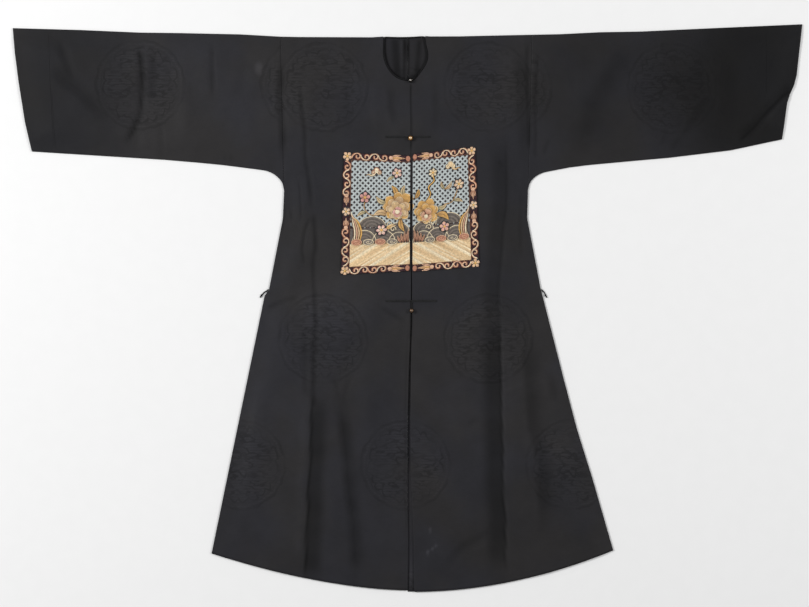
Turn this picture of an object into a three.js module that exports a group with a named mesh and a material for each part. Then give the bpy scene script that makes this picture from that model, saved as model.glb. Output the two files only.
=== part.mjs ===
// Rank badge surcoat, laid out flat on its back with the front up.
// Millimetres, +Z up, collar towards +Y, the wearer's left towards +X.
// The origin is the middle of the outline, on the surface that the coat lies on.
//
// Each body length is one cloth: the back lies on the surface, folds over at the shoulder
// and comes down again as the front. Each sleeve is a flattened tube sewn to its edge.
import * as THREE from 'three';

// Cloth
const WALL = 1.4;          // silk and its lining together
const SEAM = 0.3;          // clear width between pieces that are sewn or lie on each other
const LOFT = 3.0;          // air between front and back, away from the closed edges
const LOFT_REACH = 55;     // how far in from an edge the air takes to fill out
const OPEN_SHARE = 0.35;   // share of the air that is left at the hem and cuffs
const FOLD_RADIUS = WALL + SEAM / 2;

// Lines that both halves share
const CENTRE_X = 7.4;      // where the two fronts meet
const BACK_SEAM_X = 0.6;
const NECK_BASE_Y = 481;
const BACK_NECK_DEPTH = 2;
const UNDERARM_Y = 250;
const CHEST_Y = 190;
const SLIT_TOP_Y = 38;     // the side seam ends here, and front and back part below it
const SLIT_FOOT_Y = 26;
const HEM_REACH = 420;     // how far out each half's hemLift is measured
const OPENING_AT_NECK = 0.6;
const OPENING_AT_HEM = 13.6;

// Each half is measured from the centre line outwards (out) and along the collar axis (y).
// Edges are tables of { out, y } corners. The right half is the wearer's right, towards -X.
const RIGHT = {
  name: 'right',
  sign: -1,
  hemFoot: -598.9,
  hemLift: 77.2,
  hemPower: 1.735,
  neckHalfWidth: 58.5,
  neckRoundness: 2.6,
  neckBulge: 3,
  top: [
    { out: 0, y: 576.2 },
    { out: 62, y: 575.8 },
    { out: 83, y: 574.4 },
    { out: 235, y: 575 },
    { out: 277, y: 575.8 },
    { out: 362, y: 580.6 },
    { out: 490, y: 583.4 },
    { out: 575, y: 584.4 },
    { out: 702, y: 589.9 },
    { out: 844.7, y: 593.8 },
  ],
  seam: [{ out: 276.7, y: 575.8 }, { out: 269.2, y: UNDERARM_Y }],
  side: [
    { out: 269.2, y: UNDERARM_Y },
    { out: 271.8, y: CHEST_Y },
    { out: 301.5, y: SLIT_TOP_Y },
    { out: 310.5, y: SLIT_FOOT_Y },
    { out: 423.3, y: -522 },
  ],
  underside: [
    { out: 269.2, y: 286 },
    { out: 330, y: 294.5 },
    { out: 394, y: 302.7 },
    { out: 447, y: 308 },
    { out: 521, y: 314.3 },
    { out: 804.3, y: 332 },
  ],
  underarmWidth: 45,
  underarmDrop: 36,
  cuff: [
    { out: 844.7, y: 593.8 },
    { out: 840, y: 540 },
    { out: 832.1, y: 479 },
    { out: 818.8, y: 394 },
    { out: 804.3, y: 332 },
  ],
  creaseOut: [{ out: 235, y: 500 }, { out: 217, y: 290 }, { out: 205, y: 40 }, { out: 222, y: -590 }],
};

const LEFT = {
  name: 'left',
  sign: 1,
  hemFoot: -602,
  hemLift: 84.2,
  hemPower: 2,
  neckHalfWidth: 30.3,
  neckRoundness: 2,
  neckBulge: 10,
  top: [
    { out: 0, y: 576.9 },
    { out: 31, y: 576.9 },
    { out: 42, y: 576.2 },
    { out: 104, y: 576.4 },
    { out: 189, y: 578.4 },
    { out: 316, y: 581 },
    { out: 401, y: 585.2 },
    { out: 485, y: 586.6 },
    { out: 655, y: 594.4 },
    { out: 829.9, y: 602 },
  ],
  seam: [{ out: 256.5, y: 578 }, { out: 248, y: UNDERARM_Y }],
  side: [
    { out: 248, y: UNDERARM_Y },
    { out: 246.5, y: CHEST_Y },
    { out: 275.5, y: SLIT_TOP_Y },
    { out: 279, y: SLIT_FOOT_Y },
    { out: 324.5, y: -152.6 },
    { out: 352.5, y: -258.6 },
    { out: 385.8, y: -364.6 },
    { out: 429.2, y: -515 },
  ],
  underside: [
    { out: 248, y: 285 },
    { out: 290, y: 289.3 },
    { out: 337, y: 298.3 },
    { out: 380, y: 303.6 },
    { out: 464, y: 311.3 },
    { out: 549, y: 318.9 },
    { out: 676, y: 334.2 },
    { out: 761, y: 352.4 },
    { out: 787, y: 357.5 },
  ],
  underarmWidth: 45,
  underarmDrop: 35,
  cuff: [
    { out: 829.9, y: 602 },
    { out: 818, y: 494 },
    { out: 812.6, y: 473 },
    { out: 803.5, y: 453 },
    { out: 797.5, y: 434 },
    { out: 791.5, y: 388 },
    { out: 787, y: 357.5 },
  ],
  creaseOut: [{ out: 189, y: 357 }, { out: 182, y: 208 }, { out: 188, y: -46 }, { out: 204, y: -590 }],
};

const HALVES = [RIGHT, LEFT];

// Creases of the front and sleeves, in x and y. A crease runs from its first end to its
// second, rises by lift (or sinks where lift is negative), falls away over leftWidth on the
// left of that direction and rightWidth on the right, and tapers off over its ends.
const CREASES = [
  { from: [-228, 494], to: [-211, 310], lift: -1.2, leftWidth: 18, rightWidth: 12, ends: 50 },
  { from: [-215, 330], to: [-198, 40], lift: -1.8, leftWidth: 26, rightWidth: 9, ends: 40 },
  { from: [-198, 60], to: [-213, -575], lift: -2.4, leftWidth: 32, rightWidth: 9, ends: 60 },
  { from: [-150, -150], to: [-118, -495], lift: -1.9, leftWidth: 26, rightWidth: 20, ends: 90 },
  { from: [-203, 206], to: [-224, 85], lift: 0.9, leftWidth: 12, rightWidth: 12, ends: 25 },
  { from: [197, 362], to: [189, 200], lift: -1.6, leftWidth: 12, rightWidth: 22, ends: 40 },
  { from: [190, 225], to: [196, -60], lift: -1.9, leftWidth: 10, rightWidth: 26, ends: 40 },
  { from: [195, -30], to: [211, -575], lift: -2.4, leftWidth: 9, rightWidth: 30, ends: 60 },
  { from: [268, -120], to: [282, -390], lift: -1.7, leftWidth: 20, rightWidth: 24, ends: 80 },
  { from: [240, 545], to: [236, 290], lift: 0.9, leftWidth: 24, rightWidth: 24, ends: 60 },
  { from: [-565, 550], to: [-563, 408], lift: -1.7, leftWidth: 14, rightWidth: 14, ends: 40 },
  { from: [-412, 556], to: [-410, 330], lift: 0.9, leftWidth: 16, rightWidth: 16, ends: 50 },
  { from: [-742, 505], to: [-672, 450], lift: -1.2, leftWidth: 12, rightWidth: 12, ends: 30 },
  { from: [818, 460], to: [712, 352], lift: 0.9, leftWidth: 26, rightWidth: 10, ends: 30 },
  { from: [350, 545], to: [345, 345], lift: 0.8, leftWidth: 20, rightWidth: 20, ends: 60 },
];

// Badge: one embroidered square cut down the middle, half on each front
const BADGE_WALL = 1.0;
const BADGE_CORNERS = {
  right: { topIn: [6.2, 323.5], topOut: [-136, 330], footIn: [4.9, 77.5], footOut: [-142, 70] },
  left: { topIn: [11, 327], topOut: [144, 342], footIn: [10.2, 76], footOut: [153, 88] },
};

// Neck binding and closures
const BINDING_RADIUS = 1.5;
const STRIP = { width: 4, height: 1.6 };
const EYE = { inner: 2.6, outer: 4.6 };
// drop is how far the ball hangs below its strips, raise how far the cords lie above the silk.
const BUTTONS = [
  { name: 'neck', x: 6.6, y: 482, ball: 4.2, rightReach: 0, leftReach: 20, turn: 48, drop: 0, raise: 0.8 },
  { name: 'chest', x: 6.2, y: 361, ball: 5, rightReach: 53, leftReach: 43, turn: 0, drop: 0, raise: 0 },
  { name: 'waist', x: 8.6, y: -5.5, ball: 4.6, rightReach: 55, leftReach: 54, turn: 0, drop: 20.5, raise: 0 },
];
const TIE_RADIUS = 2;

// Mesh density
const SKIRT_ROWS = 11;
const NECK_STEPS = 7;
const BACK_ROWS = 5;
const INNER_COLUMNS = [0, 0.2, 0.4, 0.58, 0.74, 0.86, 0.94, 1];
const OUTER_COLUMNS = [0.06, 0.2, 0.42, 0.7, 1];
const SLEEVE_STATIONS = [0, 0.006, 0.02, 0.045, 0.08, 0.13, 0.2, 0.3, 0.4, 0.5, 0.6, 0.7, 0.8, 0.9, 1];
const SLEEVE_ACROSS = [0, 0.12, 0.25, 0.38, 0.5, 0.62, 0.75, 0.88, 1];
const FOLD_TURNS = [-Math.PI / 4, 0, Math.PI / 4];

const silk = { color: 0x2f2f31, roughness: 0.62, metalness: 0 };
const bindingSilk = { color: 0x17171a, roughness: 0.5, metalness: 0 };
const embroidery = { color: 0x9a8d78, roughness: 0.6, metalness: 0 };
const gilt = { color: 0xc79a4a, roughness: 0.3, metalness: 0.9 };

function smooth(value) {
  const t = Math.min(1, Math.max(0, value));
  return t * t * (3 - 2 * t);
}

function mix(a, b, share) {
  return a + (b - a) * share;
}

// Reads one column of an edge table at a value of another, straight between its corners.
function readEdge(edge, known, value, wanted) {
  const rising = edge[edge.length - 1][known] > edge[0][known];
  const rows = rising ? edge : [...edge].reverse();
  let after = rows.findIndex((corner) => corner[known] > value);
  if (after === -1) after = rows.length - 1;
  after = Math.max(1, after);
  const a = rows[after - 1];
  const b = rows[after];
  return mix(a[wanted], b[wanted], (value - a[known]) / (b[known] - a[known]));
}

function toX(half, out) {
  return CENTRE_X + half.sign * out;
}

function topY(half, out) {
  return readEdge(half.top, 'out', out, 'y');
}

function undersideY(half, out) {
  const corner = half.seam[1].out;
  const along = Math.min(1, (out - corner) / half.underarmWidth);
  const round = 1 - Math.sqrt(Math.max(0, 1 - (1 - along) ** 2));
  return readEdge(half.underside, 'out', out, 'y') - half.underarmDrop * round;
}

function hemRise(half, out) {
  return half.hemLift * (Math.abs(out) / HEM_REACH) ** half.hemPower;
}

function hemY(half, out) {
  return half.hemFoot + hemRise(half, out);
}

// Outer edge of a body length: the sleeve seam down to the underarm, then the side and slit.
function bodyEdge(half, y) {
  const edge = y > UNDERARM_Y ? half.seam : half.side;
  return readEdge(edge, 'y', y, 'out');
}

function openingHalfWidth(y) {
  const down = Math.max(0, (NECK_BASE_Y - y) / (NECK_BASE_Y + 600));
  return mix(OPENING_AT_NECK, OPENING_AT_HEM, down ** 2.2) / 2;
}

// The outline of one half, as two lists of points: edges that are closed and edges that are open.
function outlineOf(half) {
  const steps = [0, ...spread(0, 1, 12)];
  const corner = half.seam[1].out;
  const sleeveEnd = half.underside[half.underside.length - 1].out;
  const hemOuts = spread(0, half.side[half.side.length - 1].out, 12);
  const underside = steps.slice(1).map((t) => mix(corner, sleeveEnd, t ** 2.5));
  return {
    closed: [
      ...[...half.side].reverse().map(({ out, y }) => [toX(half, out), y]),
      ...underside.map((out) => [toX(half, out), undersideY(half, out)]),
    ],
    top: half.top.map(({ out, y }) => [toX(half, out), y]),
    cuff: half.cuff.map(({ out, y }) => [toX(half, out), y]),
    hem: [0, ...hemOuts].map((out) => [toX(half, out), hemY(half, out)]),
  };
}

function nearestOnLine(x, y, from, to) {
  const dx = to[0] - from[0];
  const dy = to[1] - from[1];
  const length = Math.hypot(dx, dy);
  const share = Math.min(1, Math.max(0, ((x - from[0]) * dx + (y - from[1]) * dy) / length ** 2));
  const distance = Math.hypot(x - from[0] - share * dx, y - from[1] - share * dy);
  const onLeft = dx * (y - from[1]) - dy * (x - from[0]) > 0;
  return { distance, along: share * length, length, onLeft };
}

function distanceTo(points, x, y) {
  let nearest = Infinity;
  for (let i = 1; i < points.length; i += 1) {
    nearest = Math.min(nearest, nearestOnLine(x, y, points[i - 1], points[i]).distance);
  }
  return nearest;
}

const outlines = new Map(HALVES.map((half) => [half, outlineOf(half)]));

function creaseLift(crease, x, y) {
  const near = nearestOnLine(x, y, crease.from, crease.to);
  const width = near.onLeft ? crease.leftWidth : crease.rightWidth;
  const ends = smooth(near.along / crease.ends) * smooth((near.length - near.along) / crease.ends);
  return crease.lift * smooth(1 - near.distance / width) * ends;
}

// Clear height between the back and the front, at any point of the coat.
function airAt(x, y) {
  const half = x < CENTRE_X ? RIGHT : LEFT;
  const outline = outlines.get(half);
  const closed = Math.min(distanceTo(outline.closed, x, y), distanceTo(outline.top, x, y));
  const open = Math.min(distanceTo(outline.cuff, x, y), distanceTo(outline.hem, x, y));
  const closedShare = smooth(closed / LOFT_REACH);
  const openShare = mix(OPEN_SHARE, 1, smooth(open / LOFT_REACH));
  const creases = CREASES.reduce((sum, crease) => sum + creaseLift(crease, x, y), 0);
  return SEAM + Math.max(0, LOFT * Math.min(closedShare, openShare) + creases * closedShare);
}

function frontUnder(x, y) {
  return WALL + airAt(x, y);
}

function frontTop(x, y) {
  return frontUnder(x, y) + WALL;
}

// Points over the rounded fold at an edge: the far side of a tube's outer and inner walls.
function foldPoint(x, y, outwardY, turn, radius) {
  const centreY = y - outwardY * FOLD_RADIUS;
  return [x, centreY + outwardY * radius * Math.cos(turn), FOLD_RADIUS + radius * Math.sin(turn)];
}

// A closed body from two matching grids of points, the cloth's outside and its inside.
// ringed joins each row's last point to its first, so that the grids are tubes.
function clothWall(outer, inner, ringed = false) {
  const rows = outer.length;
  const columns = outer[0].length;
  const spans = ringed ? columns : columns - 1;
  const at = (layer, row, column) => (layer * rows + row) * columns + (column % columns);
  const index = [];
  const quad = (a, b, c, d) => index.push(a, b, c, a, c, d);
  for (let row = 0; row < rows - 1; row += 1) {
    for (let column = 0; column < spans; column += 1) {
      const next = column + 1;
      quad(at(0, row, column), at(0, row, next), at(0, row + 1, next), at(0, row + 1, column));
      quad(at(1, row, column), at(1, row + 1, column), at(1, row + 1, next), at(1, row, next));
    }
    if (!ringed) {
      quad(at(0, row, 0), at(0, row + 1, 0), at(1, row + 1, 0), at(1, row, 0));
      quad(at(0, row, spans), at(1, row, spans), at(1, row + 1, spans), at(0, row + 1, spans));
    }
  }
  const last = rows - 1;
  for (let column = 0; column < spans; column += 1) {
    const next = column + 1;
    quad(at(0, 0, column), at(1, 0, column), at(1, 0, next), at(0, 0, next));
    quad(at(0, last, column), at(0, last, next), at(1, last, next), at(1, last, column));
  }
  const points = [...outer, ...inner].flat();
  return faceOut(points, index);
}

// Turns every face over if the body that they close is inside out.
function faceOut(points, index) {
  const corner = (i) => new THREE.Vector3(...points[index[i]]);
  let volume = 0;
  for (let i = 0; i < index.length; i += 3) {
    volume += corner(i).dot(corner(i + 1).cross(corner(i + 2))) / 6;
  }
  const faces = volume > 0 ? index : [...index].reverse();
  const geometry = new THREE.BufferGeometry();
  geometry.setAttribute('position', new THREE.Float32BufferAttribute(points.flat(), 3));
  geometry.setIndex(faces);
  geometry.computeVertexNormals();
  return geometry;
}

function piece(name, geometry, finish) {
  const mesh = new THREE.Mesh(geometry, new THREE.MeshStandardMaterial(finish));
  mesh.name = name;
  return mesh;
}

function spread(from, to, count) {
  return Array.from({ length: count }, (_, step) => mix(from, to, (step + 1) / count));
}

// One row of points across a body length, from its inner edge over the main crease to its
// outer edge. Low rows bend with the hem, by bend of its rise.
function bodyRow(half, level, innerOut, bend) {
  const yAt = (out) => level + bend * hemRise(half, out);
  let edgeOut = bodyEdge(half, level);
  for (let pass = 0; pass < 6; pass += 1) edgeOut = bodyEdge(half, yAt(edgeOut));
  edgeOut -= level > UNDERARM_Y - 1 ? SEAM / 2 : 0;
  const creaseOut = readEdge(half.creaseOut, 'y', level, 'out');
  return [
    ...INNER_COLUMNS.map((share) => mix(innerOut, creaseOut, share)),
    ...OUTER_COLUMNS.map((share) => mix(creaseOut, edgeOut, share)),
  ].map((out) => [toX(half, out), yAt(out)]);
}

// How far out the neck hole reaches at a share of its depth, 0 at the shoulder and 1 at its base.
function neckOut(half, depthShare) {
  const round = (1 - depthShare ** half.neckRoundness) ** (1 / half.neckRoundness);
  return half.neckHalfWidth * round + half.neckBulge * Math.sin(Math.PI * depthShare) ** 2;
}

// Direction into the neck hole, square to its edge.
function intoNeck(half, turn, neckDepth) {
  const step = 0.04;
  const before = Math.max(0, turn - step);
  const rise = neckDepth * (Math.cos(before) - Math.cos(turn + step));
  const run = neckOut(half, Math.cos(turn + step)) - neckOut(half, Math.cos(before));
  return new THREE.Vector2(-rise, run);
}

function neckTurns() {
  return Array.from({ length: NECK_STEPS }, (_, step) => ((step + 1) / NECK_STEPS) * (Math.PI / 2));
}

function bodyLength(half) {
  const skirtLevels = (rows) => [half.hemFoot, ...spread(half.hemFoot, SLIT_FOOT_Y, rows), SLIT_TOP_Y];
  const chestLevels = [...spread(SLIT_TOP_Y, CHEST_Y, 3), ...spread(CHEST_Y, UNDERARM_Y, 2)];
  const frontLevels = [...skirtLevels(SKIRT_ROWS), ...chestLevels, ...spread(UNDERARM_Y, NECK_BASE_Y, 4)];
  const backLevels = [...skirtLevels(BACK_ROWS), CHEST_Y, UNDERARM_Y, ...spread(UNDERARM_Y, 540, 2)];
  const bendAt = (level) => smooth((SLIT_TOP_Y - level) / (SLIT_TOP_Y - half.hemFoot)) ** 0.8;
  const shoulderY = topY(half, half.neckHalfWidth) - FOLD_RADIUS;
  const shoulderSlope = (x) => topY(half, (x - CENTRE_X) * half.sign) - FOLD_RADIUS - shoulderY;
  const backSeamOut = (CENTRE_X - BACK_SEAM_X) * -half.sign + SEAM / 2;

  const backRows = backLevels.map((level) => bodyRow(half, level, backSeamOut, bendAt(level)));
  for (const turn of [0, ...neckTurns()]) {
    const level = shoulderY - BACK_NECK_DEPTH * Math.cos(turn);
    backRows.push(bodyRow(half, level, mix(backSeamOut, half.neckHalfWidth, Math.sin(turn)), 0));
  }
  const frontRows = frontLevels.map((level) => bodyRow(half, level, openingHalfWidth(level), bendAt(level)));
  const neckDepth = shoulderY - NECK_BASE_Y;
  for (const turn of neckTurns()) {
    const depthShare = Math.cos(turn);
    frontRows.push(bodyRow(half, shoulderY - neckDepth * depthShare, neckOut(half, depthShare), 0));
  }
  // The rows at the back of the neck and the last front row follow the slope of the shoulder.
  const slopingRows = [...backRows.slice(-NECK_STEPS - 1), frontRows[frontRows.length - 1]];
  for (const point of slopingRows.flat()) point[1] += shoulderSlope(point[0]);

  const shoulderRow = backRows[backRows.length - 1];
  const fold = (radius) =>
    FOLD_TURNS.map((turn) => shoulderRow.map(([x, y]) => foldPoint(x, y + FOLD_RADIUS, 1, turn, radius)));
  frontRows.reverse();
  const outer = [
    ...backRows.map((row) => row.map(([x, y]) => [x, y, 0])),
    ...fold(FOLD_RADIUS),
    ...frontRows.map((row) => row.map(([x, y]) => [x, y, frontTop(x, y)])),
  ];
  const inner = [
    ...backRows.map((row) => row.map(([x, y]) => [x, y, WALL])),
    ...fold(SEAM / 2),
    ...frontRows.map((row) => row.map(([x, y]) => [x, y, frontUnder(x, y)])),
  ];
  return piece(`body_${half.name}`, clothWall(outer, inner), silk);
}

// A sleeve: rings from the armhole seam to the cuff, each a flattened loop of cloth.
function sleeve(half) {
  const [seamTop, seamFoot] = half.seam;
  const cuffTop = half.cuff[0];
  const cuffFoot = half.cuff[half.cuff.length - 1];
  const ring = (share, wallHeights, radius) => {
    const topOut = mix(seamTop.out, cuffTop.out, share);
    const footOut = mix(seamFoot.out, cuffFoot.out, share);
    const top = topY(half, topOut);
    const foot = undersideY(half, footOut);
    const bow = (y) => {
      const straight = mix(cuffFoot.out, cuffTop.out, (y - cuffFoot.y) / (cuffTop.y - cuffFoot.y));
      return (readEdge(half.cuff, 'y', y, 'out') - straight) * smooth((share - 0.7) / 0.3);
    };
    const clear = (SEAM / 2) * (1 - share);
    const xAt = (y) => toX(half, mix(footOut, topOut, (y - foot) / (top - foot)) + bow(y) + clear);
    const yAt = (up) => mix(foot + FOLD_RADIUS, top - FOLD_RADIUS, up);
    const front = SLEEVE_ACROSS.map((up) => [xAt(yAt(up)), yAt(up)]);
    const back = [...front].reverse().filter((_, i) => i % 4 === 0);
    const fold = (y, outwardY, turns) => turns.map((turn) => foldPoint(xAt(y), y, outwardY, turn, radius));
    return [
      ...front.map(([x, y]) => [x, y, wallHeights.front(x, y)]),
      ...fold(top, 1, [...FOLD_TURNS].reverse()),
      ...back.map(([x, y]) => [x, y, wallHeights.back]),
      ...fold(foot, -1, FOLD_TURNS),
    ];
  };
  const outer = SLEEVE_STATIONS.map((share) => ring(share, { front: frontTop, back: 0 }, FOLD_RADIUS));
  const inner = SLEEVE_STATIONS.map((share) => ring(share, { front: frontUnder, back: WALL }, SEAM / 2));
  return piece(`sleeve_${half.name}`, clothWall(outer, inner, true), silk);
}

// Half of the badge, made from the front's own surface moved out by a seam's width.
function badge(half) {
  const { topIn, topOut, footIn, footOut } = BADGE_CORNERS[half.name];
  const shares = [0, ...spread(0, 1, 6)];
  const grid = shares.map((down) =>
    shares.map((across) => {
      const at = (a, b, axis) => mix(a[axis], b[axis], across);
      const [x, y] = [0, 1].map((axis) => mix(at(topIn, topOut, axis), at(footIn, footOut, axis), down));
      return [x, y, frontTop(x, y) + SEAM];
    }),
  );
  const outer = grid.map((row) => row.map(([x, y, z]) => [x, y, z + BADGE_WALL]));
  return piece(`badge_${half.name}`, clothWall(outer, grid), embroidery);
}

// A cord's rings stand exactly on the points of its path, with straight runs between them.
class CordPath extends THREE.CatmullRomCurve3 {
  getUtoTmapping(u) {
    return u;
  }
}

function roundCord(points, radius) {
  const section = new THREE.Shape();
  section.absarc(0, 0, radius, 0, Math.PI * 2, false);
  return new THREE.ExtrudeGeometry(section, {
    steps: points.length - 1,
    extrudePath: new CordPath(points.map((point) => new THREE.Vector3(...point))),
    curveSegments: 4,
    bevelEnabled: false,
  });
}

// The rolled binding runs just inside the neck edge, from the opening up over one shoulder,
// along the back of the neck and down the other side.
function neckBinding() {
  const inset = BINDING_RADIUS + SEAM + 0.2; // the straight runs cut the curve's corners
  const endInset = inset + 0.5;
  const restZ = WALL + SEAM + BINDING_RADIUS;
  const endOut = 1.2;
  const frontPoints = (half) => {
    const shoulderY = topY(half, half.neckHalfWidth) - FOLD_RADIUS;
    const neckDepth = shoulderY - NECK_BASE_Y;
    return [0, ...neckTurns().slice(0, -1)].map((turn) => {
      const depthShare = Math.cos(turn);
      const out = neckOut(half, depthShare);
      const y = shoulderY - neckDepth * depthShare;
      const inward = intoNeck(half, turn, neckDepth);
      inward.setLength(turn === 0 ? endInset : inset);
      const edgeZ = frontUnder(toX(half, out + 1), y) + WALL / 2;
      return [toX(half, Math.max(endOut, out + inward.x)), y + inward.y, Math.max(restZ, edgeZ)];
    });
  };
  const shoulderPoints = (half) => {
    const y = topY(half, half.neckHalfWidth) - FOLD_RADIUS;
    const out = half.neckHalfWidth - inset;
    return [
      [toX(half, out), y - 2.5, restZ],
      [toX(half, out - 1.5), y + 0.2, restZ],
      [toX(half, out - 5), y + 1, restZ],
    ];
  };
  const [rightEnd, leftEnd] = HALVES.map((half) => shoulderPoints(half)[2]);
  const dip = 2.4;
  const backPoints = spread(0, 1, 8).slice(0, -1).map((share) => [
    mix(rightEnd[0], leftEnd[0], share),
    mix(rightEnd[1], leftEnd[1], share) - dip * Math.sin(share * Math.PI),
    restZ,
  ]);
  const points = [
    ...frontPoints(RIGHT),
    ...shoulderPoints(RIGHT),
    ...backPoints,
    ...shoulderPoints(LEFT).reverse(),
    ...frontPoints(LEFT).reverse(),
  ];
  return piece('neck_binding', roundCord(points, BINDING_RADIUS), bindingSilk);
}

// A flat rolled strip in plan, with round ends.
function stripShape(startX, endX) {
  const r = STRIP.width / 2;
  const shape = new THREE.Shape();
  shape.absarc(endX - r, 0, r, -Math.PI / 2, Math.PI / 2, false);
  shape.absarc(startX + r, 0, r, Math.PI / 2, (Math.PI * 3) / 2, false);
  return shape;
}

// A strip that ends in an eye round the button's shank, at the plan's origin. With a drop, it
// hangs down to the eye from a run that lies higher.
function loopShape(reach, drop) {
  const r = STRIP.width / 2;
  const meet = Math.asin(r / EYE.outer);
  const leaves = drop > 0 ? Math.PI / 2 : 0;
  const shape = new THREE.Shape();
  shape.absarc(0, 0, EYE.outer, leaves + meet, leaves + Math.PI * 2 - meet, false);
  if (drop > 0) shape.lineTo(r, drop - r);
  shape.absarc(reach - r, drop, r, -Math.PI / 2, Math.PI / 2, false);
  if (drop > 0) shape.absarc(0, drop, r, Math.PI / 2, Math.PI, false);
  const hole = new THREE.Path();
  hole.absarc(0, 0, EYE.inner, 0, Math.PI * 2, true);
  shape.holes.push(hole);
  return shape;
}

function rolledStrip(shape) {
  return new THREE.ExtrudeGeometry(shape, { depth: STRIP.height, curveSegments: 6, bevelEnabled: false });
}

// A ball on a shank that just clears the eye, turned about the upright axis.
function ballButton(radius) {
  const shank = EYE.inner - 0.9;
  const ballZ = STRIP.height + Math.sqrt((radius + SEAM) ** 2 - EYE.inner ** 2);
  const start = -Math.acos(shank / radius);
  const profile = [new THREE.Vector2(0, 0), new THREE.Vector2(shank, 0)];
  for (const turn of [start, ...spread(start, Math.PI / 2, 7).slice(0, -1)]) {
    profile.push(new THREE.Vector2(radius * Math.cos(turn), ballZ + radius * Math.sin(turn)));
  }
  profile.push(new THREE.Vector2(0, ballZ + radius));
  return new THREE.LatheGeometry(profile, 14).rotateX(Math.PI / 2);
}

// A ball button stands in the eye of its loop strip. Its own strip ends at the eye.
function closure(button) {
  const pieces = [
    piece(`button_${button.name}`, ballButton(button.ball), gilt),
    piece(`loop_strip_${button.name}`, rolledStrip(loopShape(button.leftReach, button.drop)), bindingSilk),
  ];
  if (button.rightReach > 0) {
    const near = button.drop > 0 ? STRIP.width / 2 : EYE.outer;
    const strip = rolledStrip(stripShape(-button.rightReach, -near - SEAM));
    pieces.push(piece(`button_strip_${button.name}`, strip.translate(0, button.drop, 0), bindingSilk));
  }
  for (const mesh of pieces) {
    mesh.position.set(button.x, button.y, frontTop(button.x + 1, button.y) + SEAM + button.raise);
    mesh.rotation.z = THREE.MathUtils.degToRad(button.turn);
  }
  return pieces;
}

// A short knotted cord end at the top of the side slit, lying against the edge.
function slitTie(half) {
  const upper = half.side[2];
  const lower = half.side[3];
  const clear = TIE_RADIUS + SEAM;
  const z = TIE_RADIUS + SEAM;
  const points = [
    [toX(half, upper.out + clear + 0.2), upper.y + 1, z],
    [toX(half, mix(upper.out, lower.out, 0.5) + clear + 3), mix(upper.y, lower.y, 0.5) + 1, z],
    [toX(half, lower.out + clear + 5), lower.y, z + SEAM],
    [toX(half, lower.out + clear + 8), lower.y - 5, z],
  ];
  return piece(`slit_tie_${half.name}`, roundCord(points, TIE_RADIUS), bindingSilk);
}

const surcoat = new THREE.Group();
surcoat.name = 'rank_badge_surcoat';
for (const half of HALVES) {
  surcoat.add(bodyLength(half), sleeve(half), badge(half), slitTie(half));
}
surcoat.add(neckBinding());
for (const button of BUTTONS) surcoat.add(...closure(button));

export default surcoat;
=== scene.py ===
# Surcoat laid out flat on its back: silk, embroidered badge, rolled trim and ball buttons.
# Metres, +Z up, collar towards +Y, the wearer's left towards +X.
import math
import random

import bmesh
import bpy
import numpy as np
from mathutils import Matrix, Vector


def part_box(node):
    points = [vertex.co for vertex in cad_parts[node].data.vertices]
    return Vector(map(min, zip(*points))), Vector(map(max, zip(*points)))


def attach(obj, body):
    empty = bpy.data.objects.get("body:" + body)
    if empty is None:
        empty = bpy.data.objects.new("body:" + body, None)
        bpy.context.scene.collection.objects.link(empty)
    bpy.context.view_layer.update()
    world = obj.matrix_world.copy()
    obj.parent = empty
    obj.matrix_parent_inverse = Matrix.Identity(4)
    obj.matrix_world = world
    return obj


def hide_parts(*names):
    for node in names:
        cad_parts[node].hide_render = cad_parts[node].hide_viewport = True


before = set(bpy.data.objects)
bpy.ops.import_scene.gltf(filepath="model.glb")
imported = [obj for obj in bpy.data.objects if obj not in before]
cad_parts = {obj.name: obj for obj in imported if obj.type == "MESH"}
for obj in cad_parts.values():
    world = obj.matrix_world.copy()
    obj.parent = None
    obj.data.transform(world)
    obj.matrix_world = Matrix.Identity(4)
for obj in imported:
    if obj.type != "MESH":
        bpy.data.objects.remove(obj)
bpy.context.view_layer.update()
random.seed(11)

# ---- camera, light and floor

studio = {
    "height": 4.0,            # camera above the floor
    "aimHeight": 0.005,       # where seenWidth is measured
    "seenWidth": 1.715,
    "centre": (-0.0064, 0.0095),
    "sensor": 36.0,
    "floorSize": 9.0,
    "floorDrop": 0.0002,
    "floorColour": (0.80, 0.80, 0.80),
    "skyLight": 0.43,
    "lamps": [
        {"name": "lampLeft", "place": (-3.0, 1.0, 3.0), "size": 1.1, "power": 117},
        {"name": "lampRight", "place": (3.2, 0.9, 3.0), "size": 1.1, "power": 73},
    ],
}


def makeCamera():
    data = bpy.data.cameras.new("camera")
    data.sensor_width = studio["sensor"]
    data.lens = studio["sensor"] * (studio["height"] - studio["aimHeight"]) / studio["seenWidth"]
    camera = bpy.data.objects.new("camera", data)
    camera.location = (*studio["centre"], studio["height"])
    bpy.context.scene.collection.objects.link(camera)
    bpy.context.scene.camera = camera
    bpy.context.scene.view_settings.view_transform = "Standard"


def makeLights():
    world = bpy.data.worlds.new("studio")
    world.use_nodes = True
    sky = world.node_tree.nodes["Background"]
    sky.inputs["Color"].default_value = (1, 1, 1, 1)
    sky.inputs["Strength"].default_value = studio["skyLight"]
    bpy.context.scene.world = world
    for lamp in studio["lamps"]:
        data = bpy.data.lights.new(lamp["name"], "AREA")
        data.size = lamp["size"]
        data.energy = lamp["power"]
        light = bpy.data.objects.new(lamp["name"], data)
        light.location = lamp["place"]
        light.rotation_euler = (-light.location).to_track_quat("-Z", "Y").to_euler()
        bpy.context.scene.collection.objects.link(light)


makeCamera()
makeLights()
print("studio ready")

# ---- materials


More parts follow.
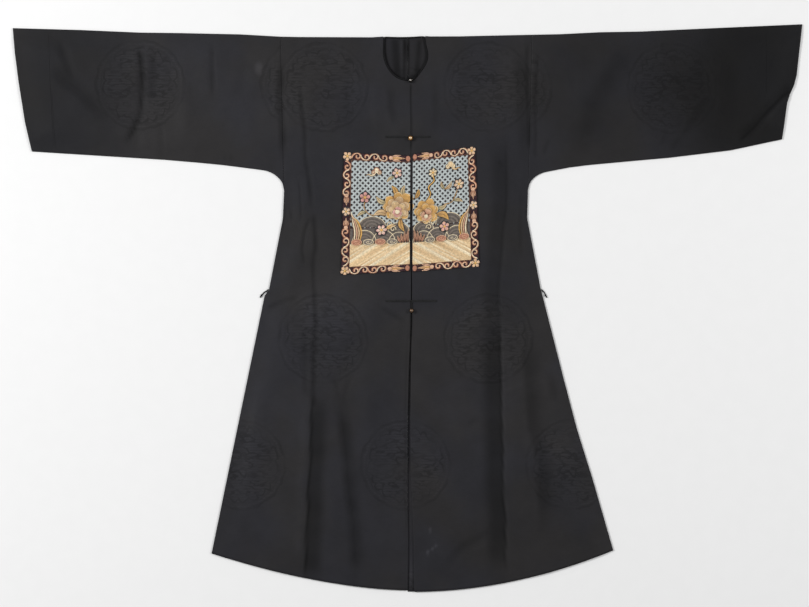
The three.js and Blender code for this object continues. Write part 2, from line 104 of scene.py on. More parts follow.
def putNode(tree, kind, sockets=None, **settings):
    made = tree.nodes.new(kind)
    for name, value in settings.items():
        setattr(made, name, value)
    for key, value in (sockets or {}).items():
        if isinstance(value, bpy.types.NodeSocket):
            tree.links.new(value, made.inputs[key])
        else:
            made.inputs[key].default_value = value
    return made


def maths(tree, operation, a, b=0.0, c=0.0):
    return putNode(tree, "ShaderNodeMath", {0: a, 1: b, 2: c}, operation=operation).outputs[0]


def vectorMaths(tree, operation, a, b=(0, 0, 0), c=(0, 0, 0)):
    return putNode(tree, "ShaderNodeVectorMath", {0: a, 1: b, 2: c}, operation=operation).outputs[0]


def lengthOf(tree, vector):
    made = putNode(tree, "ShaderNodeVectorMath", {0: vector}, operation="LENGTH")
    return made.outputs["Value"]


def rampBetween(tree, value, low, high, toLow=0.0, toHigh=1.0):
    sockets = {"Value": value, "From Min": low, "From Max": high, "To Min": toLow, "To Max": toHigh}
    return putNode(tree, "ShaderNodeMapRange", sockets, interpolation_type="SMOOTHSTEP").outputs[0]


def mixColour(tree, share, a, b, blend="MIX"):
    made = putNode(tree, "ShaderNodeMix", {0: share, 6: a, 7: b}, data_type="RGBA", blend_type=blend)
    return made.outputs[2]


def readAttribute(tree, name):
    return putNode(tree, "ShaderNodeAttribute", attribute_name=name)


def noiseAt(tree, vector, scale, detail=2.0, roughness=0.5):
    sockets = {"Vector": vector, "Scale": scale, "Detail": detail, "Roughness": roughness}
    return putNode(tree, "ShaderNodeTexNoise", sockets).outputs[0]


# Soft patches of noise, from one level to the other.
def patches(tree, vector, scale, detail, edges, levels=(0.0, 1.0), roughness=0.5):
    return rampBetween(tree, noiseAt(tree, vector, scale, detail, roughness), *edges, *levels)


def product(tree, first, *others):
    for other in others:
        first = maths(tree, "MULTIPLY", first, other)
    return first


def sineOf(tree, value, pitch):
    return maths(tree, "SINE", product(tree, value, 2 * math.pi / pitch))


def axisOf(tree, vector, axis):
    return putNode(tree, "ShaderNodeSeparateXYZ", {0: vector}).outputs[axis]


def objectPlace(tree):
    return putNode(tree, "ShaderNodeTexCoord").outputs["Object"]


def cutPlace(tree):
    return putNode(tree, "ShaderNodeUVMap", uv_map="cut").outputs[0]


# A colour made lighter or darker by a level.
def lit(tree, colour, level):
    grey = putNode(tree, "ShaderNodeCombineXYZ", {0: level, 1: level, 2: level}).outputs[0]
    return mixColour(tree, 1.0, colour, grey, "MULTIPLY")


def startMaterial(name, **fixed):
    material = bpy.data.materials.new(name)
    material.use_nodes = True
    tree = material.node_tree
    shader = tree.nodes["Principled BSDF"]
    for socket, value in fixed.items():
        shader.inputs[socket].default_value = value
    return material, tree, shader


def addBump(tree, shader, height, distance, strength=1.0, under=None):
    bump = putNode(tree, "ShaderNodeBump", {"Height": height, "Distance": distance, "Strength": strength})
    if under is not None:
        tree.links.new(under, bump.inputs["Normal"])
    tree.links.new(bump.outputs[0], shader.inputs["Normal"])
    return bump.outputs[0]


silkLook = {
    "colour": (0.0180, 0.0177, 0.0190, 1),
    "cool": (0.95, 0.96, 1.08, 1),
    "warm": (1.04, 1.00, 0.97, 1),
    "foldDark": 0.64,          # how much a fold's shade takes from the colour
    "patternDark": 0.56,
    "patternPale": 0.24,       # how much the ground between a roundel's lines is lit
    "roughness": 0.52,
    "foldRough": 0.15,
    "patternRough": 0.10,
    "weavePitch": 0.00045,
    "weaveHeight": 0.00004,
    "crumpleHeight": 0.0012,
    "patternHeight": 0.00012,
    "slubs": (60, 900, 1),
    "innerFace": (0.0007, 0.0010),
    "repeat": (0.350, 0.534),  # the damask's half drop repeat, across and along
    "roundel": 0.093,          # radius of a woven roundel
    "rings": [(1.0, 0.0048, 0.50), (0.90, 0.0034, 0.42)],  # radius in roundels, line, strength
    "scallops": {"radius": 0.78, "depth": 0.008, "count": 10.0, "line": 0.0036, "strength": 0.80},
    "flower": {"radius": 0.020, "depth": 0.006, "petals": 5.0, "line": 0.0036, "strength": 0.9},
    "shiver": (45.0, 0.014),   # scale and reach of the unevenness of the lines
    "drift": (20.0, 9.0),      # scale and reach of the unevenness of the scallops
    "ribPitch": 0.0058,
    "clouds": (20, 52, 1),
    "hemFade": (-0.50, -0.45),
}


# A woven roundel: two soft rings, a scalloped border, drifting cloud lines over fine ribs and a
# small flower, worn in patches and fading out by the hem.
def roundelPattern(tree, cut, origin):
    width, length = silkLook["repeat"]
    radius = silkLook["roundel"]
    low, high = (-width / 2, -length / 2, -1), (width / 2, length / 2, 1)
    place = vectorMaths(tree, "SUBTRACT", cut, (*origin, 0))
    first = vectorMaths(tree, "WRAP", place, high, low)
    halfDrop = vectorMaths(tree, "ADD", place, (width / 2, length / 2, 0))
    second = vectorMaths(tree, "WRAP", halfDrop, high, low)
    firstFar, secondFar = lengthOf(tree, first), lengthOf(tree, second)
    pick = maths(tree, "LESS_THAN", secondFar, firstFar)
    near = putNode(tree, "ShaderNodeMix", {0: pick, 4: first, 5: second}, data_type="VECTOR").outputs[1]
    scale, reach = silkLook["shiver"]
    shiver = maths(tree, "MULTIPLY_ADD", noiseAt(tree, cut, scale, 3.0), reach, -reach / 2)
    far = maths(tree, "ADD", maths(tree, "MINIMUM", firstFar, secondFar), shiver)
    nearX, nearY = axisOf(tree, near, 0), axisOf(tree, near, 1)
    turn = maths(tree, "ARCTAN2", nearY, nearX)

    (scale, reach), scallops, flower = silkLook["drift"], silkLook["scallops"], silkLook["flower"]
    spun = product(tree, turn, scallops["count"])
    drift = maths(tree, "MULTIPLY_ADD", noiseAt(tree, near, scale, 2.0), reach, spun)
    arches = maths(tree, "ABSOLUTE", maths(tree, "SINE", drift))
    scallopEdge = maths(tree, "MULTIPLY_ADD", arches, scallops["depth"], radius * scallops["radius"])
    lobes = maths(tree, "COSINE", product(tree, turn, flower["petals"]))
    flowerEdge = maths(tree, "MULTIPLY_ADD", lobes, flower["depth"], flower["radius"])
    rings = [(radius * share, thick, strength) for share, thick, strength in silkLook["rings"]]
    rings.append((scallopEdge, scallops["line"], scallops["strength"]))
    rings.append((flowerEdge, flower["line"], flower["strength"]))
    lines = []
    for level, thick, strength in rings:
        off = maths(tree, "ABSOLUTE", maths(tree, "SUBTRACT", far, level))
        lines.append(rampBetween(tree, off, thick * 0.3, thick, strength, 0))

    inside = rampBetween(tree, far, radius * 0.70, radius * 0.80, 1, 0)
    clouds = noiseAt(tree, vectorMaths(tree, "MULTIPLY", near, silkLook["clouds"]), 1.0, 3.0)
    bands = maths(tree, "SINE", product(tree, clouds, 40.0))
    lines.append(product(tree, rampBetween(tree, bands, -0.1, 0.8, 0, 0.8), inside))
    within = rampBetween(tree, far, radius * 0.96, radius * 1.04, 1, 0)
    ribs = sineOf(tree, nearY, silkLook["ribPitch"])
    lines.append(product(tree, rampBetween(tree, ribs, 0.1, 0.9, 0, 0.42), within))
    pattern = lines[0]
    for more in lines[1:]:
        pattern = maths(tree, "MAXIMUM", pattern, more)
    pattern = maths(tree, "MULTIPLY_ADD", within, -silkLook["patternPale"], pattern)
    worn = patches(tree, cut, 22.0, 3.0, (0.34, 0.62), (0.25, 1))
    hem = rampBetween(tree, axisOf(tree, cut, 1), *silkLook["hemFade"])
    return product(tree, pattern, worn, hem)


def silkMaterial(name, origin):
    fixed = {"Sheen Weight": 0.055, "Sheen Roughness": 0.42, "Specular IOR Level": 0.12}
    material, tree, shader = startMaterial(name, **fixed)
    cut, place = cutPlace(tree), objectPlace(tree)
    pattern = roundelPattern(tree, cut, origin)
    fold, paintedLight, inside = [readAttribute(tree, key).outputs["Fac"] for key in ("fold", "paintedLight", "inside")]
    # The inside attribute's painted shade and painted light fall only on the inner face of the back.
    innerFace = rampBetween(tree, axisOf(tree, place, 2), *silkLook["innerFace"])
    fold = maths(tree, "MULTIPLY_ADD", inside, innerFace, fold)

    cloudy = patches(tree, place, 12.0, 5.0, (0.3, 0.7), (0.90, 1.10), 0.65)
    slubs = vectorMaths(tree, "MULTIPLY", cut, silkLook["slubs"])
    thread = patches(tree, slubs, 1.0, 2.0, (0.3, 0.7), (0.95, 1.05))
    # Colour: painted shade in the creases and inside the neck, and broad painted light and shade, over the
    # cloth's own unevenness and pattern.
    shade = maths(tree, "MULTIPLY_ADD", fold, -silkLook["foldDark"], 1.0)
    woven = maths(tree, "MULTIPLY_ADD", pattern, -silkLook["patternDark"], 1.0)
    colour = lit(tree, silkLook["colour"], product(tree, cloudy, thread, paintedLight, shade, woven))
    aged = patches(tree, place, 5.0, 3.0, (0.36, 0.64))
    cast = mixColour(tree, aged, silkLook["cool"], silkLook["warm"])
    tree.links.new(mixColour(tree, 1.0, colour, cast, "MULTIPLY"), shader.inputs["Base Color"])

    rough = maths(tree, "MULTIPLY_ADD", pattern, silkLook["patternRough"], silkLook["roughness"])
    rough = maths(tree, "MULTIPLY_ADD", fold, silkLook["foldRough"], rough)
    tree.links.new(rough, shader.inputs["Roughness"])

    warp, weft = [sineOf(tree, axisOf(tree, cut, axis), silkLook["weavePitch"]) for axis in (0, 1)]
    fine = addBump(tree, shader, product(tree, warp, weft), silkLook["weaveHeight"])
    soft = addBump(tree, shader, noiseAt(tree, place, 55.0, 3.0, 0.55), silkLook["crumpleHeight"], 0.35, fine)
    addBump(tree, shader, pattern, silkLook["patternHeight"], 0.6, soft)
    return material


def threadMaterial(name, colour, roughness, pitch=0.0011):
    fixed = {"Sheen Weight": 0.02, "Sheen Roughness": 0.4, "Specular IOR Level": 0.16, "Roughness": roughness}
    material, tree, shader = startMaterial(name, **fixed)
    cut = cutPlace(tree)
    slant = maths(tree, "MULTIPLY_ADD", axisOf(tree, cut, 1), 0.5, axisOf(tree, cut, 0))
    lay = sineOf(tree, slant, pitch)
    worn = patches(tree, objectPlace(tree), 180.0, 3.0, (0.3, 0.7), (0.8, 1.25))
    # Painted shade: the colour is darker in the grooves between the laid threads, where the bump sinks.
    level = product(tree, worn, rampBetween(tree, lay, -1, 0.4, 0.7, 1.05))
    tree.links.new(lit(tree, colour, level), shader.inputs["Base Color"])
    addBump(tree, shader, lay, 0.00012)
    return material


# Gilt with a painted highlight: the crown of a ball is painted bright and its sides painted as shade.
def giltMaterial(name, side, crown, brightFrom, metal, roughness):
    material, tree, shader = startMaterial(name, Metallic=metal)
    place = objectPlace(tree)
    giltNoise = noiseAt(tree, place, 420.0, 4.0, 0.6)
    height = maths(tree, "MULTIPLY_ADD", giltNoise, 0.2, readAttribute(tree, "fold").outputs["Fac"])
    share = rampBetween(tree, height, brightFrom, brightFrom + 0.35)
    tree.links.new(mixColour(tree, share, side, crown), shader.inputs["Base Color"])
    tree.links.new(rampBetween(tree, giltNoise, 0.3, 0.7, *roughness), shader.inputs["Roughness"])
    addBump(tree, shader, noiseAt(tree, place, 900.0, 2.0), 0.00008, 0.6)
    return material


def floorMaterial():
    material, tree, shader = startMaterial("floorPaper", Roughness=0.9)
    grain = patches(tree, objectPlace(tree), 30.0, 3.0, (0.3, 0.7), (0.995, 1.005))
    tree.links.new(lit(tree, (*studio["floorColour"], 1), grain), shader.inputs["Base Color"])
    return material


# Writes a bmesh to a mesh, shaded smooth, and frees it.
def writeMesh(bm, mesh):
    for face in bm.faces:
        face.smooth = True
    bm.to_mesh(mesh)
    bm.free()
    return mesh


def readPoints(mesh):
    flat = np.empty(len(mesh.vertices) * 3)
    mesh.vertices.foreach_get("co", flat)
    return flat.reshape(-1, 3)


def writePoints(mesh, *axes):
    mesh.vertices.foreach_set("co", np.stack(axes, axis=1).ravel())


def makeFloor():
    bm = bmesh.new()
    bmesh.ops.create_grid(bm, x_segments=4, y_segments=4, size=studio["floorSize"] / 2)
    bmesh.ops.translate(bm, verts=bm.verts, vec=(0, 0, -studio["floorDrop"]))
    mesh = writeMesh(bm, bpy.data.meshes.new("floor"))
    floor = bpy.data.objects.new("floor", mesh)
    mesh.materials.append(floorMaterial())
    bpy.context.scene.collection.objects.link(floor)


makeFloor()
print("floor and finishes ready")

# ---- the cut: outlines of the two halves, as (out from the centre line, y)

cut = {
    "wall": 0.0014,           # silk and its lining
    "seam": 0.0003,
    "loft": 0.0030,           # air between front and back, away from closed edges
    "loftReach": 0.055,
    "openShare": 0.35,
    "foldRadius": 0.00155,
    "centreX": 0.0074,
    "backSeamX": 0.0006,
    "neckBaseY": 0.481,
    "backNeckDepth": 0.0016,
    "underarmY": 0.250,
    "chestY": 0.190,
    "slitTopY": 0.038,
    "slitFootY": 0.026,
    "hemReach": 0.420,        # how far out each half's hemLift is measured
    "openingAtNeck": 0.0006,
    "openingAtHem": 0.0136,
    "shellThickness": 0.0012,
}

right = {
    "name": "right",
    "sign": -1,
    "hemFoot": -0.5989,
    "hemLift": 0.0772,
    "hemPower": 1.735,
    "neckHalfWidth": 0.0585,
    "neckRoundness": 2.6,
    "neckBulge": 0.003,
    "neckShade": (0.0085, 0.62),  # how far it reaches inside the neck edge, and how dark
    "top": [(0, 0.5762), (0.062, 0.5758), (0.083, 0.5744), (0.235, 0.575), (0.277, 0.5758),
            (0.362, 0.5806), (0.490, 0.5834), (0.575, 0.5844), (0.702, 0.5899), (0.8447, 0.5938)],
    "seamLine": [(0.2767, 0.5758), (0.2692, 0.250)],
    "side": [(0.2692, 0.250), (0.2718, 0.190), (0.3015, 0.038), (0.3105, 0.026), (0.4233, -0.522)],
    "underside": [(0.2692, 0.286), (0.330, 0.2945), (0.394, 0.3027), (0.447, 0.308), (0.521, 0.3143),
                  (0.8043, 0.332)],
    "underarmWidth": 0.045,
    "underarmDrop": 0.036,
    "cuff": [(0.8447, 0.5938), (0.840, 0.540), (0.8321, 0.479), (0.8188, 0.394), (0.8043, 0.332)],
    "roundel": (-0.567, 0.473),
}

left = {
    "name": "left",
    "sign": 1,
    "hemFoot": -0.602,
    "hemLift": 0.0842,
    "hemPower": 2,
    "neckHalfWidth": 0.0303,
    "neckRoundness": 2,
    "neckBulge": 0.010,
    "neckShade": (0.0070, 0.50),
    "top": [(0, 0.5769), (0.031, 0.5769), (0.042, 0.5762), (0.104, 0.5764), (0.189, 0.5784),
            (0.316, 0.581), (0.401, 0.5852), (0.485, 0.5866), (0.655, 0.5944), (0.8299, 0.602)],
    "seamLine": [(0.2565, 0.578), (0.248, 0.250)],
    "side": [(0.248, 0.250), (0.2465, 0.190), (0.2755, 0.038), (0.279, 0.026), (0.3245, -0.1526),
             (0.3525, -0.2586), (0.3858, -0.3646), (0.4292, -0.515)],
    "underside": [(0.248, 0.285), (0.290, 0.2893), (0.337, 0.2983), (0.380, 0.3036), (0.464, 0.3113),
                  (0.549, 0.3189), (0.676, 0.3342), (0.761, 0.3524), (0.787, 0.3575)],
    "underarmWidth": 0.045,
    "underarmDrop": 0.035,
    "cuff": [(0.8299, 0.602), (0.818, 0.494), (0.8126, 0.473), (0.8035, 0.453), (0.7975, 0.434),
             (0.7915, 0.388), (0.787, 0.3575)],
    "roundel": (0.561, 0.466),
}

bodyRoundel = (-0.179, 0.4685)

# Creases of the front, in millimetres: how far the cloth rises or sinks, how wide it falls away
# to the left and right of the way that the crease runs, how long its ends taper, how much
# painted shade lies in it (below 0, painted light along a ridge), its path in x and y, how dark
# a painted shade line down its middle is, and how flat it lies. A crease flatter than 1 is
# painted dark over most of its width.
frontCreases = [
    # wearer's right front
    (-1.4, 10, 7, 50, 0.45, [(-228, 494), (-215, 314), (-209, 276), (-203, 208), (-200, 196)]),
    (-1.6, 12, 6, 20, 0.55, [(-200, 206), (-198, 165), (-197, 128), (-201, 109), (-202, 89), (-198, 38),
     (-197, -25), (-199.5, -109), (-200, -215)]),
    (-1.2, 7, 6, 25, 0.45, [(-200, 199), (-206, 191), (-213.7, 177), (-218.6, 160), (-222.2, 140),
     (-224.5, 121), (-222.2, 108), (-219.6, 85)]),
    (-2.6, 40, 5, 50, 0.8, [(-200.5, -175), (-207, -339), (-213.5, -485), (-216.5, -590)], 0.3, 1.5),
    (1.6, 9, 22, 80, -0.08, [(-208, -180), (-216, -339), (-223, -485), (-226, -585)]),
    (-0.9, 10, 10, 35, 0.28, [(-216, -30), (-216.5, -110), (-214, -200)]),
    (-2, 26, 17, 70, 0.6, [(-143, -180), (-136, -255), (-127.4, -339), (-119, -423), (-112, -500),
     (-106, -585)], 0.14),
    (-0.8, 8, 8, 20, 0.25, [(-157, -140), (-149, -170), (-141, -205)]),
    (-0.8, 8, 8, 20, 0.25, [(-117, -140), (-131, -180), (-139, -215)]),
    (1.2, 22, 22, 90, -0.06, [(-170, -200), (-166, -340), (-160, -520)]),
    (-1.2, 6, 9, 14, 0.4, [(-301.5, -2), (-272, 10), (-243, 21), (-226, 23)]),
    (-0.5, 4, 4, 25, 0.28, [(-231, 277), (-227, 233), (-226, 176)]),
    (-0.6, 5, 5, 12, 0.3, [(-249, 212), (-245.5, 182)]),
    (-1, 10, 6, 22, 0.38, [(-66, 1), (-45, -9), (-24, -21), (-2, -31)]),
    (-1, 16, 12, 30, 0.34, [(-37, 478), (-33, 430), (-26, 379)]),
    (0.8, 20, 16, 50, -0.05, [(-62, 500), (-68, 420), (-58, 350)]),
    (-0.6, 18, 14, 60, 0.1, [(-130, 540), (-120, 440), (-124, 360)]),
    (0.9, 30, 24, 120, -0.04, [(-312, -100), (-330, -300), (-352, -480)]),
    (-0.6, 26, 20, 120, 0.08, [(-72, -90), (-66, -300), (-52, -520)]),
    # wearer's left front
    (-2.4, 9, 36, 110, 0.48, [(206, 390), (210.3, 303), (208, 213), (200.6, 165), (197, 116), (193.3, 55),
     (191, -6), (191, -90)], 0.2, 1.5),
    (-0.8, 5, 5, 8, 0.3, [(191, 313), (197, 307), (204, 298)]),
    (-2.6, 5, 44, 70, 0.8, [(193, -10), (197, -120), (198, -230), (200, -339), (204.4, -444), (209, -575)],
     0.3, 1.5),
    (1.4, 20, 8, 80, -0.06, [(206, -10), (209, -230), (213, -400), (219, -560)]),
    (-0.7, 7, 7, 40, 0.22, [(239.6, 262), (237, 177), (237, 100)]),
    (-1.6, 32, 14, 80, 0.52, [(250, -60), (254.6, -121), (263, -255.5), (284, -339), (285, -500)]),
    (-1, 14, 22, 60, 0.42, [(240, 560), (244, 430), (254, 300)]),
    (1, 16, 20, 50, -0.08, [(220, 530), (214, 400)]),
    (0.8, 6, 10, 20, -0.1, [(200, -176), (228, -167), (256, -154)]),
    (-0.7, 6, 9, 16, 0.2, [(120, -251), (140, -241), (160, -229)]),
    (-1.2, 14, 14, 40, 0.28, [(180, -470), (150, -492), (120, -505), (98, -530), (78, -560)]),
    (-1, 14, 14, 35, 0.26, [(300, -130), (308.5, -172), (312, -215)]),
    (0.7, 30, 30, 120, -0.03, [(110, 20), (100, -200), (104, -420)]),
    (-0.6, 16, 20, 60, 0.1, [(130, 540), (118, 450), (120, 370)]),
    (-0.8, 14, 12, 40, 0.24, [(56, 505), (62, 430), (55, 360)]),
    # wearer's right sleeve
    (-1.6, 26, 22, 50, 0.28, [(-753.7, 523.6), (-725.3, 482), (-691.3, 459), (-661, 428.7), (-640, 408),
     (-622, 396)], 0.12),
    (-1.2, 16, 14, 30, 0.24, [(-740.5, 572), (-730, 540), (-717.6, 505), (-700, 474)], 0.06),
    (-1.8, 12, 8, 30, 0.62, [(-572, 562), (-564.3, 504.6), (-563.3, 451.6), (-566.3, 413.6), (-577.7, 391),
     (-581.5, 380), (-600, 345)], 0.26),
    (-1, 13, 12, 30, 0.34, [(-540, 562), (-537, 500), (-538, 430)]),
    (-1.2, 7, 7, 30, 0.46, [(-415.7, 566), (-414.8, 523.6), (-412, 440)]),
    (-0.8, 8, 6, 20, 0.24, [(-526, 390), (-520.9, 313)]),
    (1, 14, 14, 20, -0.12, [(-560, 380), (-556, 320)]),
    (-0.6, 5, 5, 12, 0.25, [(-390, 336), (-384, 308)]),
    (-0.6, 5, 5, 12, 0.22, [(-375, 334), (-372, 306)]),
    (-1.2, 13, 11, 60, 0.62, [(-266, 545), (-270, 450), (-266, 380), (-262, 300)]),
    (0.9, 24, 24, 70, -0.05, [(-480, 550), (-470, 430), (-480, 330)]),
    (-0.6, 18, 18, 50, 0.08, [(-345, 550), (-352, 440)]),
    # wearer's left sleeve
    (-1.2, 8, 7, 30, 0.5, [(275, 552.5), (269.4, 417.6), (271.4, 309)]),
    (-1, 8, 7, 30, 0.58, [(251.5, 570), (253.5, 510), (255.8, 440), (257.5, 330)]),
    (-1, 12, 10, 25, 0.2, [(635, 455), (600, 400), (572, 352)], 0.08),
    (-0.9, 7, 8, 16, 0.3, [(302, 362), (285, 318)]),
    (-1.8, 36, 34, 90, 0.38, [(500, 582), (466.8, 552.5), (430, 495), (400, 440), (366.1, 355.3),
     (335, 312)], 0.06),
    (-0.9, 6, 7, 22, 0.3, [(540, 572), (543.8, 506)]),
    (-0.9, 8, 8, 18, 0.28, [(579, 366.8), (551.8, 325)]),
    (-0.8, 6, 6, 14, 0.24, [(543.8, 371), (535, 339)]),
    (-1.8, 6, 24, 12, 0.46, [(818, 462.5), (795.6, 448.2), (772.3, 424.8), (753, 405.5), (733.7, 382.2),
     (700, 352)], 0.52),
    (1.2, 8, 16, 22, -0.12, [(812, 446), (790, 432), (766, 408), (742, 376), (722, 356)]),
    (1, 22, 22, 70, -0.05, [(352, 552), (346, 440), (352, 345)]),
    (-1.2, 40, 30, 70, 0.14, [(650, 560), (668, 450), (655, 370)]),
    # edges of the opening, with painted shade along them
    (-0.2, 5, 5, 8, 0.75, [(7.4, -6), (7, -40), (6, -68)]),
    (-0.2, 4.6, 4, 10, 0.52, [(7.4, 478), (8, 400), (7.4, 335)]),
    (0, 3.5, 3.5, 60, 0.22, [(1, -20), (-2, -130), (-5.2, -240), (-6.2, -370), (-3, -500)]),
]

# The same kind of creases on the back, with their painted shade, where the cloth rises a little
# off what it lies on.
backCreases = [
    (0.7, 16, 9, 80, 0.35, [(-205, 480), (-196, 100), (-214, -540)]),
    (0.7, 9, 18, 80, 0.35, [(196, 460), (186, 60), (205, -550)]),
    (0.6, 14, 12, 90, 0.22, [(-120, -100), (-112, -500)]),
    (0.6, 14, 12, 90, 0.22, [(300, -60), (330, -460)]),
    (0.6, 10, 10, 40, 0.3, [(-570, 560), (-560, 380)]),
    (0.6, 12, 12, 50, 0.25, [(560, 565), (500, 360)]),
]

# Painted shade, painted lighter strips under the opening, and soft folds on the inner face of
# the back, seen through the neck and the opening.
insideShades = [
    (0, 90, 90, 12, 0.4, [(-60, 530), (60, 530)]),
    (0, 16, 16, 40, -0.95, [(7.4, 60), (4, -200), (6, -600)]),
    (0.3, 13, 12, 4, 0.62, [(-28.5, 573), (-26, 540), (-22.5, 505), (-21.5, 480), (-20, 440)]),
    (0.2, 4.8, 4.8, 4, 0.62, [(-8, 573), (-7.8, 548), (-7.6, 490), (-7.6, 460)]),
    (0.2, 6, 6, 14, 0.42, [(-3.5, 573), (-3, 545), (-2.2, 520)]),
    (0.1, 3.6, 3.6, 4, 0.66, [(1, 573), (1.2, 480), (1.4, 460)]),
    (0.2, 8, 7, 6, 0.56, [(24, 573), (22.5, 545), (20.5, 520), (19, 490)]),
    (-0.15, 5, 5, 10, -0.24, [(-15, 573), (-14, 500)]),
    (-0.15, 6, 6, 10, -0.2, [(8.5, 573), (9.5, 500)]),
]

# Places painted lighter or darker, as painted light and shade where the lamps light the coat
# unevenly, darkest on the wearer's left sleeve, away from the stronger lamp: x, y, reach in x,
# reach in y, in millimetres, and amount.
paintedLightPlaces = [
    (740, 470, 195, 260, -0.75), (600, 450, 110, 110, -0.04), (420, 470, 170, 160, -0.28),
    (-740, 460, 160, 220, -0.46), (20, -220, 500, 420, 0.08), (240, 80, 60, 250, -0.12),
    (-300, 420, 90, 120, 0.14), (-160, 20, 80, 70, 0.3), (-560, 450, 200, 160, 0.08),
    (-100, 420, 140, 120, 0.05), (260, -450, 160, 120, -0.12), (0, -480, 200, 140, -0.05),
    (-320, -100, 100, 300, 0.1), (-315, 508, 9, 14, 0.75), (43, -519, 4, 4, 1.1), (53, -511, 3, 4.5, 0.9),
    (60, -502, 4, 3.5, 0.8), (48, -471, 3.5, 4.5, 0.8),
]

openingWander = [(0.480, 0.0), (0.150, 0.0), (0.050, 0.0012), (-0.030, 0.0008), (-0.130, -0.0026),
                 (-0.240, -0.0042), (-0.365, -0.0042), (-0.490, -0.0004), (-0.600, 0.0)]
ripples = {"count": 14, "shortest": 0.050, "longest": 0.190, "height": 0.00010}

# What keeps a crease from being even: its path wobbles, and its painted shade varies along it.
uneven = {"wobble": 0.0011, "wobbleLength": 0.034, "slowLength": 0.061, "vary": 0.14, "longVary": 0.023,
          "shortVary": 0.009, "lineReach": 0.0034}


def smooth(value):
    t = np.clip(value, 0, 1)
    return t * t * (3 - 2 * t)


def mix(a, b, share):
    return a + (b - a) * share


# Reads one column of an outline at a value of the other: 0 is out, 1 is y.
def readEdge(edge, known, value):
    rows = np.array(sorted(edge, key=lambda corner: corner[known]))
    return np.interp(value, rows[:, known], rows[:, 1 - known])


def toX(half, out):
    return cut["centreX"] + half["sign"] * out


def topY(half, out):
    return readEdge(half["top"], 0, out)


def undersideY(half, out):
    along = np.minimum(1, (out - half["seamLine"][1][0]) / half["underarmWidth"])
    roundness = 1 - np.sqrt(np.maximum(0, 1 - (1 - along) ** 2))
    return readEdge(half["underside"], 0, out) - half["underarmDrop"] * roundness


def hemRise(half, out):
    return half["hemLift"] * (np.abs(out) / cut["hemReach"]) ** half["hemPower"]


def bodyEdge(half, y):
    seam = readEdge(half["seamLine"], 1, y)
    return np.where(y > cut["underarmY"], seam, readEdge(half["side"], 1, y))


def openingHalfWidth(y):
    down = np.maximum(0, (cut["neckBaseY"] - y) / (cut["neckBaseY"] + 0.6))
    return mix(cut["openingAtNeck"], cut["openingAtHem"], down**2.2) / 2


# How far the opening wanders from straight, as x at a y.
def openingShift(y):
    rows = np.array(openingWander)[::-1]
    return np.interp(y, rows[:, 0], rows[:, 1])


def neckOut(half, depthShare):
    rounded = (1 - depthShare ** half["neckRoundness"]) ** (1 / half["neckRoundness"])
    return half["neckHalfWidth"] * rounded + half["neckBulge"] * math.sin(math.pi * depthShare) ** 2


def shoulderY(half):
    return float(topY(half, half["neckHalfWidth"])) - cut["foldRadius"]


def outlineOf(half):
    corner, sleeveEnd = half["seamLine"][1][0], half["underside"][-1][0]
    underOuts = mix(corner, sleeveEnd, (np.arange(1, 13) / 12) ** 2.5)
    under = [(out, float(undersideY(half, out))) for out in underOuts]
    hemOuts = np.linspace(0, half["side"][-1][0], 13)
    hem = [(out, half["hemFoot"] + float(hemRise(half, out))) for out in hemOuts]
    edges = {"closed": half["side"][::-1] + under, "top": half["top"], "cuff": half["cuff"], "hem": hem}
    return {name: [(float(toX(half, out)), y) for out, y in edge] for name, edge in edges.items()}


# Nearest distance to a path, how far along it that is, its length, and which side of it.
def nearestOnPath(x, y, path):
    best = np.full(x.shape, np.inf)
    along = np.zeros(x.shape)
    onLeft = np.zeros(x.shape, bool)
    walked = 0.0
    for (ax, ay), (bx, by) in zip(path, path[1:]):
        dx, dy = bx - ax, by - ay
        length = math.hypot(dx, dy)
        share = np.clip(((x - ax) * dx + (y - ay) * dy) / length**2, 0, 1)
        far = np.hypot(x - ax - share * dx, y - ay - share * dy)
        nearer = far < best
        best = np.where(nearer, far, best)
        along = np.where(nearer, walked + share * length, along)
        onLeft = np.where(nearer, dx * (y - ay) - dy * (x - ax) > 0, onLeft)
        walked += length
    return best, along, walked, onLeft


outlines = {half["name"]: outlineOf(half) for half in (right, left)}


# Height and painted shade that a list of creases gives at each point.
def creaseForms(creases, x, y):
    turnX = y / uneven["wobbleLength"] + 1.3 * np.sin(y / uneven["slowLength"])
    turnY = x / uneven["wobbleLength"] + 0.7
    wobbledX, wobbledY = x + uneven["wobble"] * np.sin(turnX), y + uneven["wobble"] * np.sin(turnY)
    lift, dark = np.zeros(x.shape), np.zeros(x.shape)
    for rise, toLeft, toRight, taper, depth, path, *sharpness in creases:
        line, flat = sharpness + [0, 1][len(sharpness):]
        path = [(px / 1000, py / 1000) for px, py in path]
        far, along, length, onLeft = nearestOnPath(wobbledX, wobbledY, path)
        width = np.where(onLeft, toLeft, toRight) / 1000
        ends = smooth(along * 1000 / taper) * smooth((length - along) * 1000 / taper)
        vary = uneven["vary"] / flat**2
        mottle = 1 + vary * (np.sin(along / uneven["longVary"] + 0.4 * toLeft)
                             + 0.6 * np.sin(along / uneven["shortVary"]))
        lift += rise / 1000 * smooth(1 - far / width) * ends
        shade = smooth((1.12 - far / width) * flat)
        dark += (depth * mottle * shade + line * smooth(1.2 - far / uneven["lineReach"])) * ends
    return lift, dark


def makeRipples():
    waves = []
    for _ in range(ripples["count"]):
        turn = random.uniform(0, math.pi)
        wave = 2 * math.pi / random.uniform(ripples["shortest"], ripples["longest"])
        waves.append((wave * math.cos(turn), wave * math.sin(turn), random.uniform(0, 6.28)))
    return waves


rippleWaves = makeRipples()


def rippleHeight(x, y):
    return ripples["height"] * sum(np.sin(kx * x + ky * y + start) for kx, ky, start in rippleWaves)


